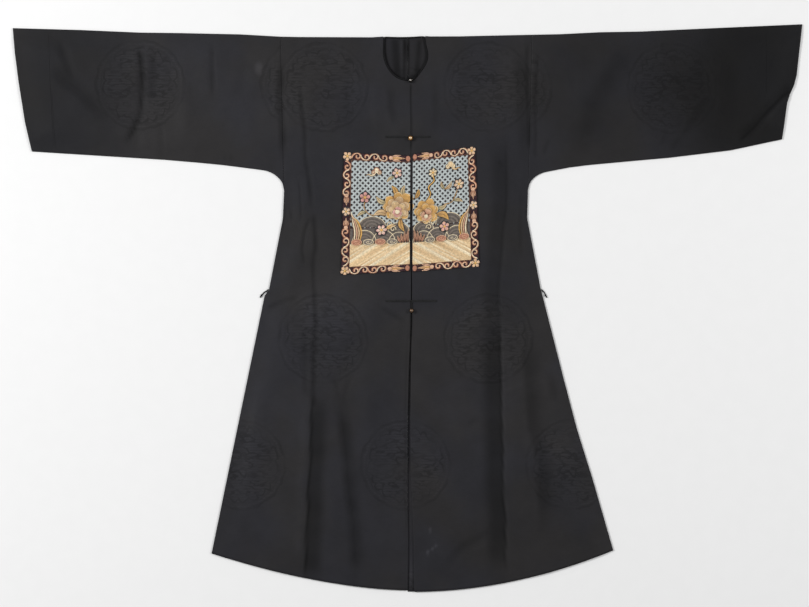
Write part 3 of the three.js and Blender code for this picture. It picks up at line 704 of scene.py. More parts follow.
def edgeShares(x, y):
    closed, opened = np.full(x.shape, np.inf), np.full(x.shape, np.inf)
    for half in (right, left):
        outline = outlines[half["name"]]
        mine = (x < cut["centreX"]) == (half["sign"] < 0)
        shut = np.minimum(nearestOnPath(x, y, outline["closed"])[0], nearestOnPath(x, y, outline["top"])[0])
        loose = np.minimum(nearestOnPath(x, y, outline["cuff"])[0], nearestOnPath(x, y, outline["hem"])[0])
        closed, opened = np.where(mine, shut, closed), np.where(mine, loose, opened)
    openShare = mix(cut["openShare"], 1, smooth(opened / cut["loftReach"]))
    return smooth(closed / cut["loftReach"]), openShare


# Top of the front layer, with its painted shade, at any point of the coat.
def frontForm(x, y):
    closedShare, openShare = edgeShares(x, y)
    lift, dark = creaseForms(frontCreases, x, y)
    lift = (lift + rippleHeight(x, y)) * np.minimum(1, closedShare * 1.6)
    air = cut["loft"] * np.minimum(closedShare, openShare) + lift
    return 2 * cut["wall"] + cut["seam"] + np.maximum(0, air), dark


def frontTop(x, y):
    return frontForm(np.atleast_1d(np.asarray(x, float)), np.atleast_1d(np.asarray(y, float)))[0]


def backForm(x, y):
    lift, dark = creaseForms(backCreases, x, y)
    innerLift, inside = creaseForms(insideShades, x, y)
    # Painted shadow on the inner face of the back, along each neck edge.
    for half in (right, left):
        shoulder, (reach, amount) = shoulderY(half), half["neckShade"]
        edge = []
        for depthShare in np.cos(np.linspace(0, math.pi / 2, 12)):
            edgeX = float(toX(half, neckOut(half, depthShare)))
            edge.append((edgeX, mix(shoulder, cut["neckBaseY"], depthShare)))
        inside += amount * smooth(1.15 - nearestOnPath(x, y, edge)[0] / reach)
    return np.maximum(0, lift + innerLift), dark, inside


# Painted light and shade: how much lighter or darker each point of the coat is painted.
def paintedLightAt(x, y):
    paintedLight = np.ones(x.shape)
    for middleX, middleY, reachX, reachY, amount in paintedLightPlaces:
        far = np.hypot((x * 1000 - middleX) / reachX, (y * 1000 - middleY) / reachY)
        paintedLight += amount * smooth(1.4 - far)
    return paintedLight


# ---- cloth pieces, each a grid laid out on its cut and wrapped to its place


# A mesh of a grid, columns by rows, whose points come from place(column, row).
def gridMesh(name, columns, rows, place, joinEnds=False, turnOver=False):
    bm = bmesh.new()
    bmesh.ops.create_grid(bm, x_segments=columns, y_segments=rows, size=0.5)
    mesh = writeMesh(bm, bpy.data.meshes.new(name))
    shares = readPoints(mesh)[:, :2] + 0.5
    column, row = [np.rint(shares[:, axis] * count).astype(int) for axis, count in ((0, columns), (1, rows))]
    made = place(column, row)
    writePoints(mesh, *made["points"])
    if "cut" in made:
        corners = np.empty(len(mesh.loops), int)
        mesh.loops.foreach_get("vertex_index", corners)
        layer = mesh.uv_layers.new(name="cut")
        layer.data.foreach_set("uv", np.stack(made["cut"], axis=1)[corners].ravel())
    for key in ("fold", "inside", "paintedLight"):
        if key in made:
            mesh.attributes.new(key, "FLOAT", "POINT").data.foreach_set("value", made[key])
    if "thread" in made:
        tint = np.hstack([made["thread"], np.ones((len(column), 1))])
        mesh.attributes.new("thread", "FLOAT_COLOR", "POINT").data.foreach_set("color", tint.ravel())
    bm = bmesh.new()
    bm.from_mesh(mesh)
    if joinEnds:
        bmesh.ops.remove_doubles(bm, verts=bm.verts, dist=1e-6)
    if turnOver:
        bmesh.ops.reverse_faces(bm, faces=bm.faces)
    return writeMesh(bm, mesh)


# A place for gridMesh that reads arrays of rows by columns. shade holds the mesh's attributes.
def fromArrays(points, cutPoints, shade):
    def place(column, row):
        def pick(values):
            return values[row, column]

        return {"points": [pick(axis) for axis in points], "cut": [pick(axis) for axis in cutPoints],
                **{key: pick(values) for key, values in shade.items()}}

    return place


def addPiece(name, mesh, material, slot, *nodes):
    piece = bpy.data.objects.new(name, mesh)
    mesh.materials.clear()
    mesh.materials.append(material)
    bpy.context.scene.collection.objects.link(piece)
    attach(piece, "root")
    if nodes:
        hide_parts(*nodes)
    return piece


# Gives a sheet its thickness inwards. A sliver at the back of the neck can turn that over, and
# what then falls below the table goes back above it.
def giveThickness(piece, thickness):
    shell = piece.modifiers.new("shell", "SOLIDIFY")
    shell.thickness = thickness
    shell.offset = -1
    state = bpy.context.evaluated_depsgraph_get()
    thick = bpy.data.meshes.new_from_object(
        piece.evaluated_get(state), preserve_all_data_layers=True, depsgraph=state)
    x, y, z = readPoints(thick).T
    writePoints(thick, x, y, np.abs(z))
    piece.modifiers.clear()
    piece.data = thick
    return piece


# Steps from one value to the next, without the first.
def stepsTo(start, end, count):
    return list(np.linspace(start, end, count + 1)[1:])


# Shares from 0 to 1 that crowd towards both ends.
def crowdedShares(count, crowd=0.5):
    t = np.linspace(0, 1, count + 1)
    return t - crowd * np.sin(2 * math.pi * t) / (2 * math.pi)


bodyGrid = {"columns": 104, "skirtRows": 104, "slitRows": 2, "sideRows": 26, "chestRows": 11, "yokeRows": 36,
            "neckRows": 26, "foldTurns": 5, "backNeckRows": 5, "backYokeRows": 60, "backSideRows": 20,
            "backRows": 84, "hemPasses": 8}


def levelsDown(start, *stretches):
    levels = []
    for end, count in stretches:
        levels += stepsTo(start, end, count)
        start = end
    return levels


# The level of each row and how far out it starts, for the front, the fold and the back.
def bodyRows(half):
    shoulder, foot = shoulderY(half), half["hemFoot"]
    backSeamOut = (cut["centreX"] - cut["backSeamX"]) * -half["sign"] + cut["seam"] / 2
    levels = [foot] + levelsDown(
        foot, (cut["slitFootY"], bodyGrid["skirtRows"]), (cut["slitTopY"], bodyGrid["slitRows"]),
        (cut["chestY"], bodyGrid["sideRows"]), (cut["underarmY"], bodyGrid["chestRows"]),
        (cut["neckBaseY"], bodyGrid["yokeRows"]))
    front = [(level, float(openingHalfWidth(level))) for level in levels]
    for turn in stepsTo(0, math.pi / 2, bodyGrid["neckRows"]):
        depthShare = max(0.0, math.cos(turn))
        front.append((mix(shoulder, cut["neckBaseY"], depthShare), float(neckOut(half, depthShare))))
    over = [(shoulder, half["neckHalfWidth"])] * bodyGrid["foldTurns"]
    back = []
    for share in np.linspace(0, 1, bodyGrid["backNeckRows"] + 1):
        out = mix(backSeamOut, half["neckHalfWidth"], math.sqrt(1 - share * share))
        back.append((shoulder - cut["backNeckDepth"] * share, out))
    down = levelsDown(
        shoulder - cut["backNeckDepth"], (cut["underarmY"], bodyGrid["backYokeRows"]),
        (cut["slitTopY"], bodyGrid["backSideRows"]), (foot, bodyGrid["backRows"]))
    return front, over, back + [(level, backSeamOut) for level in down]


# Front rows from hem to shoulder, then the fold, then the back down to its hem.
def bodyLength(half):
    shoulder, foot, radius = shoulderY(half), half["hemFoot"], cut["foldRadius"]
    front, over, back = bodyRows(half)
    frontCount, backFrom = len(front), len(front) + len(over)
    level, innerOut = [np.array(values)[:, None] for values in zip(*front, *over, *back)]
    number = np.arange(len(level))[:, None]

    bend = smooth((cut["slitTopY"] - level) / (cut["slitTopY"] - foot)) ** 0.8
    edge = bodyEdge(half, level)
    for _ in range(bodyGrid["hemPasses"]):
        edge = bodyEdge(half, level + bend * hemRise(half, edge))
    edge = edge - np.where(level > cut["underarmY"] - 0.001, cut["seam"] / 2, 0)
    shares = crowdedShares(bodyGrid["columns"])[None, :]
    out = mix(innerOut, edge, shares)
    x = toX(half, out)
    y = level + bend * hemRise(half, out)
    x = x + np.where(number < frontCount, openingShift(y), 0) * (1 - shares) ** 3
    near = np.clip((level - cut["neckBaseY"]) / (shoulder - cut["neckBaseY"]), 0, 1) ** 2
    y = y + near * (topY(half, out) - radius - shoulder)

    z, fold, inside = [np.zeros(x.shape) for _ in range(3)]
    z[:frontCount], fold[:frontCount] = frontForm(x[:frontCount], y[:frontCount])
    z[backFrom:], fold[backFrom:], inside[backFrom:] = backForm(x[backFrom:], y[backFrom:])
    turns = np.linspace(math.pi / 2, -math.pi / 2, len(over) + 2)[1:-1, None]
    y[frontCount:backFrom] += radius * np.cos(turns)
    z[frontCount:backFrom] = radius + radius * np.sin(turns)
    cutY = np.where(number < frontCount + len(over) // 2, y, 2 * shoulder - y)

    name = f"silk_body_{half['name']}"
    place = fromArrays((x, y, z), (x, cutY), {"fold": fold, "inside": inside, "paintedLight": paintedLightAt(x, y)})
    mesh = gridMesh(name, bodyGrid["columns"], len(level) - 1, place, turnOver=half["sign"] < 0)
    piece = addPiece(name, mesh, silkBody, "silk", f"body_{half['name']}")
    return giveThickness(piece, cut["shellThickness"])


sleeveGrid = {"stations": 116, "frontColumns": 54, "backColumns": 26, "foldTurns": 4, "crowd": 0.35,
              "bowFrom": 0.7}


# Rings from the armhole seam to the cuff. Each ring starts at the underside seam, runs up the
# front, over the top fold and down the back.
def sleeve(half):
    share = crowdedShares(sleeveGrid["stations"], sleeveGrid["crowd"])[:, None]
    (topOut, _), (footOut, _) = half["seamLine"]
    cuffTop, cuffFoot = half["cuff"][0], half["cuff"][-1]
    topOuts, footOuts = mix(topOut, cuffTop[0], share), mix(footOut, cuffFoot[0], share)
    top, foot = topY(half, topOuts), undersideY(half, footOuts)
    radius = cut["foldRadius"]

    def xAt(y):
        straight = mix(cuffFoot[0], cuffTop[0], (y - cuffFoot[1]) / (cuffTop[1] - cuffFoot[1]))
        bow = (readEdge(half["cuff"], 1, y) - straight) * smooth((share - sleeveGrid["bowFrom"])
                                                                 / (1 - sleeveGrid["bowFrom"]))
        clear = cut["seam"] / 2 * (1 - share)
        return toX(half, mix(footOuts, topOuts, (y - foot) / (top - foot)) + bow + clear)

    def panel(form, shares):
        y = mix(foot + radius, top - radius, shares[None, :])
        x = xAt(y)
        return x, y, *form(x, y)[:2]

    def fold(edgeY, outward, turns):
        y = edgeY - outward * radius + outward * radius * np.cos(turns)[None, :]
        z = np.broadcast_to(radius + radius * np.sin(turns)[None, :], y.shape)
        return xAt(np.broadcast_to(edgeY, y.shape)), y, z, np.zeros(y.shape)

    quarter = np.linspace(0, math.pi / 2, sleeveGrid["foldTurns"] + 1)
    halfTurn = np.linspace(math.pi / 2, -math.pi / 2, 2 * sleeveGrid["foldTurns"] + 1)[1:-1]
    front = panel(frontForm, np.linspace(0, 1, sleeveGrid["frontColumns"] + 1))
    back = panel(backForm, np.linspace(1, 0, sleeveGrid["backColumns"] + 1))
    start, topFold = fold(foot, -1, quarter[:-1]), fold(top, 1, halfTurn)
    end = fold(foot, -1, -quarter[::-1][1:])
    x, y, z, dark = [np.hstack(parts) for parts in zip(start, front, topFold, back, end)]
    columns = x.shape[1] - 1
    overTop = start[0].shape[1] + front[0].shape[1] + sleeveGrid["foldTurns"] - 1
    cutY = np.where(np.arange(columns + 1)[None, :] <= overTop, y, 2 * top - y)

    name = f"silk_sleeve_{half['name']}"
    shade = {"fold": dark, "inside": np.zeros(x.shape), "paintedLight": paintedLightAt(x, y)}
    place = fromArrays((x, y, z), (x, cutY), shade)
    mesh = gridMesh(name, columns, sleeveGrid["stations"], place, True, half["sign"] > 0)
    material = silkMaterial(f"silkSleeve{half['name'].title()}", half["roundel"])
    piece = addPiece(name, mesh, material, "silk", f"sleeve_{half['name']}")
    return giveThickness(piece, cut["shellThickness"])


silkBody = silkMaterial("silkBody", bodyRoundel)
bodies = {half["name"]: bodyLength(half) for half in (right, left)}
sleeves = {half["name"]: sleeve(half) for half in (right, left)}
print("cloth laid out")

# ---- rolled trim: neck binding, closures and slit ties


def smoothPath(points, perSpan=6):
    controls = [Vector(point) for point in points]
    ends = [controls[0] * 2 - controls[1], *controls, controls[-1] * 2 - controls[-2]]
    path = []
    for index in range(1, len(ends) - 2):
        a, b, c, d = ends[index - 1:index + 3]
        for step in range(perSpan):
            t = step / perSpan
            path.append(0.5 * (2 * b + (c - a) * t + (2 * a - 5 * b + 4 * c - d) * t**2
                               + (3 * b - a - 3 * c + d) * t**3))
    return path + [controls[-1]]


# How far along a line each of its points is.
def walkedAlong(line):
    return np.concatenate([[0], np.cumsum(np.linalg.norm(np.diff(line, axis=0), axis=1))])


# The way that a line runs at each of its points.
def headings(line):
    ahead = np.gradient(line, axis=0)
    return ahead / np.maximum(1e-9, np.linalg.norm(ahead, axis=1))[:, None]


# A round cord along a path, drawn in at its ends. squash flattens it against the cloth.
def cordMesh(name, path, radius, sides=10, squash=1.0):
    line = np.array([tuple(point) for point in path])
    ahead = headings(line)
    across = np.cross(ahead, (0, 0, 1.0))
    across /= np.maximum(1e-9, np.linalg.norm(across, axis=1))[:, None]
    up = np.cross(across, ahead)
    walked = walkedAlong(line)
    toEnd = np.minimum(walked, walked[-1] - walked)
    width = radius * np.sqrt(np.clip(1 - (1 - np.minimum(1, toEnd / radius)) ** 2, 0.02, 1))

    def place(column, row):
        turn = 2 * math.pi * column / sides
        points = (line[row] + across[row] * (width[row] * np.cos(turn))[:, None]
                  + up[row] * (width[row] * squash * np.sin(turn))[:, None])
        return {"points": tuple(points.T), "cut": (walked[row], radius * turn)}

    mesh = gridMesh(name, sides, len(line) - 1, place, True)
    bm = bmesh.new()
    bm.from_mesh(mesh)
    bmesh.ops.holes_fill(bm, edges=bm.edges)
    bmesh.ops.recalc_face_normals(bm, faces=bm.faces)
    return writeMesh(bm, mesh)


def joinMeshes(name, meshes):
    bm = bmesh.new()
    for mesh in meshes:
        bm.from_mesh(mesh)
        bpy.data.meshes.remove(mesh)
    return writeMesh(bm, bpy.data.meshes.new(name))


binding = {"radius": 0.0015, "inset": 0.0020, "endInset": 0.0025, "endOut": 0.0012, "turns": 7,
           "backDip": 0.0012, "backPoints": 8, "sides": 12, "squash": 0.9,
           "corner": [(0, 0.0030), (0.0012, 0.0008), (0.005, 0.0003)]}  # inwards and down from it


def bindingPath():
    restZ = cut["wall"] + cut["seam"] + binding["radius"]

    def frontPoints(half):
        shoulder = shoulderY(half)
        depth = shoulder - cut["neckBaseY"]
        points = []
        for step in range(binding["turns"]):
            turn = step / binding["turns"] * math.pi / 2
            out, y = float(neckOut(half, math.cos(turn))), shoulder - depth * math.cos(turn)
            before, after = math.cos(max(0, turn - 0.04)), math.cos(turn + 0.04)
            inward = Vector((depth * (after - before), neckOut(half, after) - neckOut(half, before)))
            inward.length = binding["endInset"] if step == 0 else binding["inset"]
            edge = frontTop(toX(half, out + 0.001), y)[0] - cut["wall"] / 2
            x = toX(half, max(binding["endOut"], out + inward.x))
            points.append((x, y + inward.y, max(restZ, edge)))
        return points

    def cornerPoints(half):
        y, out = shoulderY(half), half["neckHalfWidth"] - binding["inset"]
        return [(toX(half, out - inwards), y - down, restZ) for inwards, down in binding["corner"]]

    (rightX, rightY, _), (leftX, leftY, _) = cornerPoints(right)[-1], cornerPoints(left)[-1]
    back = []
    for share in np.linspace(0, 1, binding["backPoints"] + 1)[1:-1]:
        dip = binding["backDip"] * math.sin(share * math.pi)
        back.append((mix(rightX, leftX, share), mix(rightY, leftY, share) - dip, restZ))
    return (frontPoints(right) + cornerPoints(right) + back
            + cornerPoints(left)[::-1] + frontPoints(left)[::-1])


satinCord = threadMaterial("satinCord", (0.0050, 0.0050, 0.0056, 1), 0.62)
stripCord = threadMaterial("stripCord", (0.0170, 0.0170, 0.0176, 1), 0.58)
# The crown colour of each ball is a painted highlight, and its side colour painted shade.
gilt = giltMaterial("gilt", (0.34, 0.15, 0.030, 1), (0.98, 0.86, 0.64, 1), 0.80, 0.6, (0.14, 0.34))
dullGilt = giltMaterial("dullGilt", (0.110, 0.062, 0.032, 1), (0.40, 0.36, 0.32, 1), 0.90, 0.7, (0.30, 0.46))
darkGilt = giltMaterial("darkGilt", (0.030, 0.024, 0.020, 1), (0.80, 0.77, 0.72, 1), 0.86, 1.0, (0.14, 0.34))
neckEdge = cordMesh("bound_neck_edge", smoothPath(bindingPath(), 8), binding["radius"], binding["sides"],
                    binding["squash"])
addPiece("bound_neck_edge", neckEdge, satinCord, "binding", "neck_binding")

closures = {
    "stripWidth": 0.004,
    "cordRadius": 0.00098,
    "spread": 1.02,           # from the middle of a strip to its cord, in cord radii
    "sides": 8,
    "squash": 0.86,
    "tip": 0.0010,            # how a doubled cord narrows at its outer end
    "tipShoulder": 0.0022,
    "runFrom": 0.006,
    "eyeMiddle": 0.0036,      # radius of the loop round the shank
    "eyeClear": 0.004,
    "eyePoints": 15,
    "eyeLead": 0.12,          # angle between the loop and the strands that leave it
    "buttons": [
        {"name": "neck", "turn": 48, "leftReach": 0.020, "rightReach": 0, "drop": 0,
         "wraps": (0.0050, 0.0078, 0.0106, 0.0134), "metal": darkGilt, "cord": satinCord,
         "ballSlip": 0, "stripSlip": 0},
        {"name": "chest", "turn": 0, "leftReach": 0.043, "rightReach": 0.053, "drop": 0, "wraps": (),
         "metal": gilt, "cord": stripCord, "ballSlip": -0.0014, "stripSlip": 0.0018},
        {"name": "waist", "turn": 0, "leftReach": 0.054, "rightReach": 0.055, "drop": 0.0205, "wraps": (),
         "metal": dullGilt, "cord": stripCord, "ballSlip": 0, "stripSlip": 0},
    ],
    "wrap": [(-0.0008, -0.0028, 0), (-0.0003, -0.0018, 0.0013), (0.0003, 0.0018, 0.0013),
             (0.0008, 0.0028, 0)],
}
offset = closures["cordRadius"] * closures["spread"]


# Each strip is one cord laid double: the loop runs out, round the shank and back. With a drop
# it turns down from its run and hangs to the shank.
def loopPath(button):
    reach, drop, eye = button["leftReach"], button["drop"], closures["eyeMiddle"]
    leaves = math.pi / 2 if drop else 0.0
    meet = math.asin(offset / eye)
    lead = meet + closures["eyeLead"]
    turns = np.linspace(leaves + lead, leaves + 2 * math.pi - lead, closures["eyePoints"])
    ring = [(eye * math.cos(turn), eye * math.sin(turn), 0) for turn in turns]
    inner = eye * math.cos(meet) + closures["eyeClear"]
    runEnd = reach - closures["runFrom"]
    if not drop:
        first = [(x, offset, 0) for x in np.linspace(runEnd, inner, 6)]
        last = [(x, -y, 0) for x, y, _ in first[::-1]]
    else:
        up, down = drop + offset, drop - offset
        first = [(x, up, 0) for x in np.linspace(runEnd, 0.001, 6)]
        first += [(-offset * 0.6, drop + offset * 0.5, 0)]
        first += [(-offset, y, 0) for y in np.linspace(drop - 0.002, inner, 3)]
        last = [(offset, y, 0) for y in np.linspace(inner, drop - 0.0045, 3)]
        last += [(offset * 1.6, down - 0.0004, 0)] + [(x, down, 0) for x in np.linspace(0.005, runEnd, 6)]
    tip = [(reach - closures["tip"], drop + offset * 0.4, 0),
           (reach - closures["tipShoulder"], drop + offset, 0)]
    return tip + first + ring + last + [(x, 2 * drop - y, 0) for x, y, _ in tip[::-1]]


def stripPath(button):
    reach, drop = button["rightReach"], button["drop"]
    near = (closures["stripWidth"] / 2 if drop else closures["eyeMiddle"] + 0.001) + 0.0012
    out = [(closures["tip"] - reach, offset * 0.4, 0), (closures["tipShoulder"] - reach, offset, 0)]
    out += [(x, offset, 0) for x in np.linspace(closures["runFrom"] - reach, -near - 0.001, 7)]
    bow = [(-near + 0.0003, offset * 0.7, 0), (-near + 0.0008, 0, 0), (-near + 0.0003, -offset * 0.7, 0)]
    return [(x, y + drop, 0) for x, y, _ in out + bow + [(x, -y, 0) for x, y, _ in out[::-1]]]


def layStrip(name, points, button, low):
    centre = Vector((button["x"], button["y"], low + closures["cordRadius"]))
    turn = Matrix.Rotation(math.radians(button["turn"]), 4, "Z")
    path = smoothPath([centre + turn @ Vector(point) for point in points], 3)
    return cordMesh(name, path, closures["cordRadius"], closures["sides"], closures["squash"])


ballLook = {"squash": 0.97, "petals": 4, "petalRise": 0.018, "beads": 18, "beadRadius": 0.085,
            "shankTop": 0.34, "shankFoot": 0.40}


# A hollow gilt ball: a domed head over a belt of beading, with its shank below.
def ballButton(name, centre, radius, low):
    bm = bmesh.new()
    bmesh.ops.create_uvsphere(bm, u_segments=40, v_segments=26, radius=radius)
    bmesh.ops.scale(bm, vec=(1, 1, ballLook["squash"]), verts=bm.verts)
    for vert in bm.verts:
        far = math.hypot(vert.co.x, vert.co.y) / radius
        turn = math.atan2(vert.co.y, vert.co.x)
        petal = abs(math.cos(turn * ballLook["petals"])) * smooth(far) * smooth(1.4 - far)
        vert.co *= 1 - ballLook["petalRise"] * (1 - float(petal))
    belt = radius * ballLook["squash"]
    for turn in np.arange(ballLook["beads"]) * 2 * math.pi / ballLook["beads"]:
        place = Matrix.Translation((belt * math.cos(turn), belt * math.sin(turn), 0))
        bmesh.ops.create_icosphere(bm, subdivisions=1, radius=radius * ballLook["beadRadius"], matrix=place)
    shankHeight = centre.z - low
    bmesh.ops.create_cone(bm, cap_ends=True, segments=20, radius1=radius * ballLook["shankFoot"],
                          radius2=radius * ballLook["shankTop"], depth=shankHeight,
                          matrix=Matrix.Translation((0, 0, -shankHeight / 2)))
    bmesh.ops.translate(bm, verts=bm.verts, vec=centre)
    mesh = writeMesh(bm, bpy.data.meshes.new(name))
    # The crown's height, kept in the fold attribute, places the painted highlight.
    crown = [min(1.0, max(0.0, (vert.co.z - centre.z) / radius)) for vert in mesh.vertices]
    mesh.attributes.new("fold", "FLOAT", "POINT").data.foreach_set("value", crown)
    return mesh


def makeClosure(button):
    name = button["name"]
    low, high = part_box(f"button_{name}")
    radius = (high.x - low.x) / 2
    button["x"], button["y"] = (low.x + high.x) / 2, (low.y + high.y) / 2
    centre = Vector((button["x"], button["y"] + button["ballSlip"], high.z - radius))
    ball = ballButton(f"ball_{name}", centre, radius, low.z)
    addPiece(f"ball_{name}", ball, button["metal"], "gilt", f"button_{name}")
    button["y"] += button["stripSlip"]
    meshes = [layStrip("run", loopPath(button), button, low.z)]
    for at in button["wraps"]:
        meshes.append(layStrip("wrap", [(at + x, y, z) for x, y, z in closures["wrap"]], button, low.z))
    loopName, stripName = f"rolled_loop_{name}", f"rolled_strip_{name}"
    addPiece(loopName, joinMeshes(loopName, meshes), button["cord"], "binding", f"loop_strip_{name}")
    if button["rightReach"]:
        strip = layStrip(stripName, stripPath(button), button, low.z)
        addPiece(stripName, strip, button["cord"], "binding", f"button_strip_{name}")


for button in closures["buttons"]:
    makeClosure(button)

slitTie = {
    "radius": 0.00124,
    "clear": 0.0023,          # from the cloth's edge to the middle of the cord
    "sides": 8,
    "low": 0.0004,
    "route": [(0, -0.0012, 0.002, 0.001), (0, 0.001, -0.001, 0.0006), (0.5, 0.003, 0.001, 0),
              (1, 0.0045, 0.0005, 0), (1, 0.0075, -0.0045, 0)],  # share down the slit, out, y, z
    "knot": (0.0042, 0.0008, 0.0003),
    "knotTurn": 0.0013,
    "knotRise": 0.0005,
    "knotCord": 0.8,
}


# A short knotted cord end at the top of each side slit.
def makeSlitTie(half):
    upper, lower = half["side"][2:4]
    radius = slitTie["radius"]
    z = radius + slitTie["low"]

    def at(share, out, up):
        edgeOut, edgeY = [mix(upper[axis], lower[axis], share) for axis in (0, 1)]
        return toX(half, edgeOut + slitTie["clear"] + out), edgeY + up

    route = [(*at(share, out, up), z + rise) for share, out, up, rise in slitTie["route"]]
    meshes = [cordMesh("tail", smoothPath(route, 6), radius, slitTie["sides"])]
    out, up, rise = slitTie["knot"]
    middle, radiusOfTurn = Vector((*at(1, out, up), z + rise)), slitTie["knotTurn"]
    knot = []
    for turn in np.linspace(0, 2 * math.pi * 0.97, 16):
        lift = slitTie["knotRise"] * math.sin(2 * turn)
        knot.append(middle + Vector((radiusOfTurn * math.cos(turn), radiusOfTurn * math.sin(turn), lift)))
    meshes.append(cordMesh("knot", knot, radius * slitTie["knotCord"], slitTie["sides"]))
    name = f"knotted_tie_{half['name']}"
    addPiece(name, joinMeshes(name, meshes), satinCord, "binding", f"slit_tie_{half['name']}")


for half in (right, left):
    makeSlitTie(half)

# Lines of running stitches that hold the cuff facings, as (x, y) from the top edge down.
stitches = {
    "radius": 0.00042,
    "pitch": 0.0052,
    "length": 0.0036,
    "slip": 0.0002,
    "sink": np.array([-0.4, 0.5, 0.5, -0.4]),  # height along a stitch, in radii
    "lines": {
        "right": [[(-0.7613, 0.583), (-0.7575, 0.480), (-0.7500, 0.338)],
                  [(-0.7535, 0.455), (-0.7510, 0.400), (-0.7455, 0.338)]],
        "left": [[(0.7605, 0.588), (0.7610, 0.500), (0.7600, 0.424)]],
    },
}


def cuffStitches(half):
    meshes = []
    for route in stitches["lines"][half["name"]]:
        points = np.array(route)
        walked = walkedAlong(points)
        for mark in np.arange(0.003, walked[-1] - 0.004, stitches["pitch"]):
            ends = mark + np.linspace(0, stitches["length"] * random.uniform(0.85, 1.1), 4)
            x = np.interp(ends, walked, points[:, 0]) + random.uniform(-stitches["slip"], stitches["slip"])
            y = np.interp(ends, walked, points[:, 1])
            z = frontTop(x, y) + stitches["radius"] * stitches["sink"]
            meshes.append(cordMesh("stitch", np.stack([x, y, z], axis=1), stitches["radius"], 6))
    name = f"cuff_stitches_{half['name']}"
    addPiece(name, joinMeshes(name, meshes), satinCord, "binding")


for half in (right, left):
    cuffStitches(half)
print("trim and closures made")

# ---- badge: worked flat on one square, then cut down the middle and laid on the two fronts

badge = {
    "halfWidth": 0.144,
    "halfHeight": 0.128,
    "wall": 0.0010,
    "corners": {
        "right": {"topIn": (0.0062, 0.3235), "topOut": (-0.136, 0.330),
                  "footIn": (0.0049, 0.0775), "footOut": (-0.142, 0.070)},
        "left": {"topIn": (0.0110, 0.327), "topOut": (0.144, 0.342),
                 "footIn": (0.0102, 0.076), "footOut": (0.153, 0.088)},
    },
}


# From the flat square to the coat: across and down by the half's own corners, up by height.
def layOnFront(half, u, v, height):
    corners = badge["corners"][half["name"]]
    across = np.clip(np.abs(u) / badge["halfWidth"], 0, 1)
    down = np.clip((badge["halfHeight"] - v) / (2 * badge["halfHeight"]), 0, 1)

    def at(a, b, axis):
        return mix(corners[a][axis], corners[b][axis], across)

    x, y = [mix(at("topIn", "topOut", axis), at("footIn", "footOut", axis), down) for axis in (0, 1)]
    return x, y, frontTop(x, y) + cut["seam"] + height


def badgeGround(half):
    columns, rows = 60, 100

    def place(column, row):
        u = half["sign"] * badge["halfWidth"] * column / columns
        v = badge["halfHeight"] * (2 * row / rows - 1)
        x, y, z = layOnFront(half, u, v, badge["wall"])
        return {"points": (x, y, z), "cut": (u, v)}

    name = f"badge_ground_{half['name']}"
    mesh = gridMesh(name, columns, rows, place, turnOver=half["sign"] < 0)
    piece = addPiece(name, mesh, badgeSilk, "embroidery", f"badge_{half['name']}")
    return giveThickness(piece, badge["wall"] * 0.9)


badgeSilk = threadMaterial("badgeSilk", (0.045, 0.020, 0.026, 1), 0.6, 0.0006)
badgeGrounds = {half["name"]: badgeGround(half) for half in (right, left)}
print("badge ground made")

# ---- embroidery: satin ribbons and couched cords, worked on the flat square

threads = {
    "cream": (0.80, 0.68, 0.47),
    "wheat": (0.72, 0.52, 0.29),
    "peach": (0.70, 0.42, 0.27),
    "pink": (0.72, 0.38, 0.36),
    "rose": (0.40, 0.17, 0.10),
    "straw": (0.60, 0.40, 0.21),
    "gold": (0.70, 0.40, 0.11),
    "tan": (0.40, 0.22, 0.075),
    "brown": (0.14, 0.060, 0.035),
    "blue": (0.45, 0.49, 0.485),
    "grey": (0.165, 0.135, 0.112),
    "slate": (0.095, 0.078, 0.066),
    "sage": (0.27, 0.27, 0.15),
    "ink": (0.006, 0.006, 0.007),
}

# The parts of the square, in metres from its middle.
layout = {
    "fieldSide": 0.1265,
    "fieldTop": 0.1125,
    "fieldFoot": -0.030,
    "stripesTop": -0.0640,
    "stripesFoot": -0.1125,
    "latticePitch": 0.0082,
    "latticeWidth": 0.003666,
    "curlRadius": 0.0068,
    "cord": 0.0023,
    "sink": 0.0002,
    "cutClear": 0.0004,       # from the cut down the middle to the stitches
}

# How wide a ribbon is along its length, as a share of its full width.
profiles = {
    "even": lambda t: np.ones(t.shape),
    "round": lambda t: np.sqrt(np.clip(1 - (2 * t - 1) ** 2, 0, 1)),
    "leaf": lambda t: np.sin(math.pi * t**0.85),
    "petal": lambda t: np.sin(math.pi * np.clip(t, 0, 1) ** 1.6) ** 0.65 * 0.9 + 0.1 * (1 - t),
    "tail": lambda t: (1 - t) ** 0.7,
    "wisp": lambda t: np.sin(math.pi * t) ** 0.5,
}

worked = {"satin": [], "cords": []}


def evenPath(path, step):
    line = np.array(path, float)
    walked = walkedAlong(line)
    marks = np.linspace(0, walked[-1], max(3, int(walked[-1] / step)) + 1)
    return np.stack([np.interp(marks, walked, line[:, axis]) for axis in (0, 1)], axis=1), marks


def curve(*points):
    return [(point.x, point.y) for point in smoothPath([(u, v, 0) for u, v in points], 6)]


def arc(centre, radius, start, end, squash=1.0):
    turns = np.radians(np.linspace(start, end, 26))
    return list(zip(centre[0] + radius * np.cos(turns), centre[1] + squash * radius * np.sin(turns)))


def spiral(centre, radius, start, sweep, inner=0.22):
    shares = np.linspace(0, 1, 34)
    turns = np.radians(start + sweep * shares)
    reach = radius * (1 - (1 - inner) * shares**0.9)
    return list(zip(centre[0] + reach * np.cos(turns), centre[1] + reach * np.sin(turns)))


# The way out to the right of a line at each of its points.
def asides(line):
    ahead = headings(line)
    return np.stack([ahead[:, 1], -ahead[:, 0]], axis=1)


def beside(path, distance):
    line = np.array(path, float)
    return [tuple(point) for point in line + distance * asides(line)]


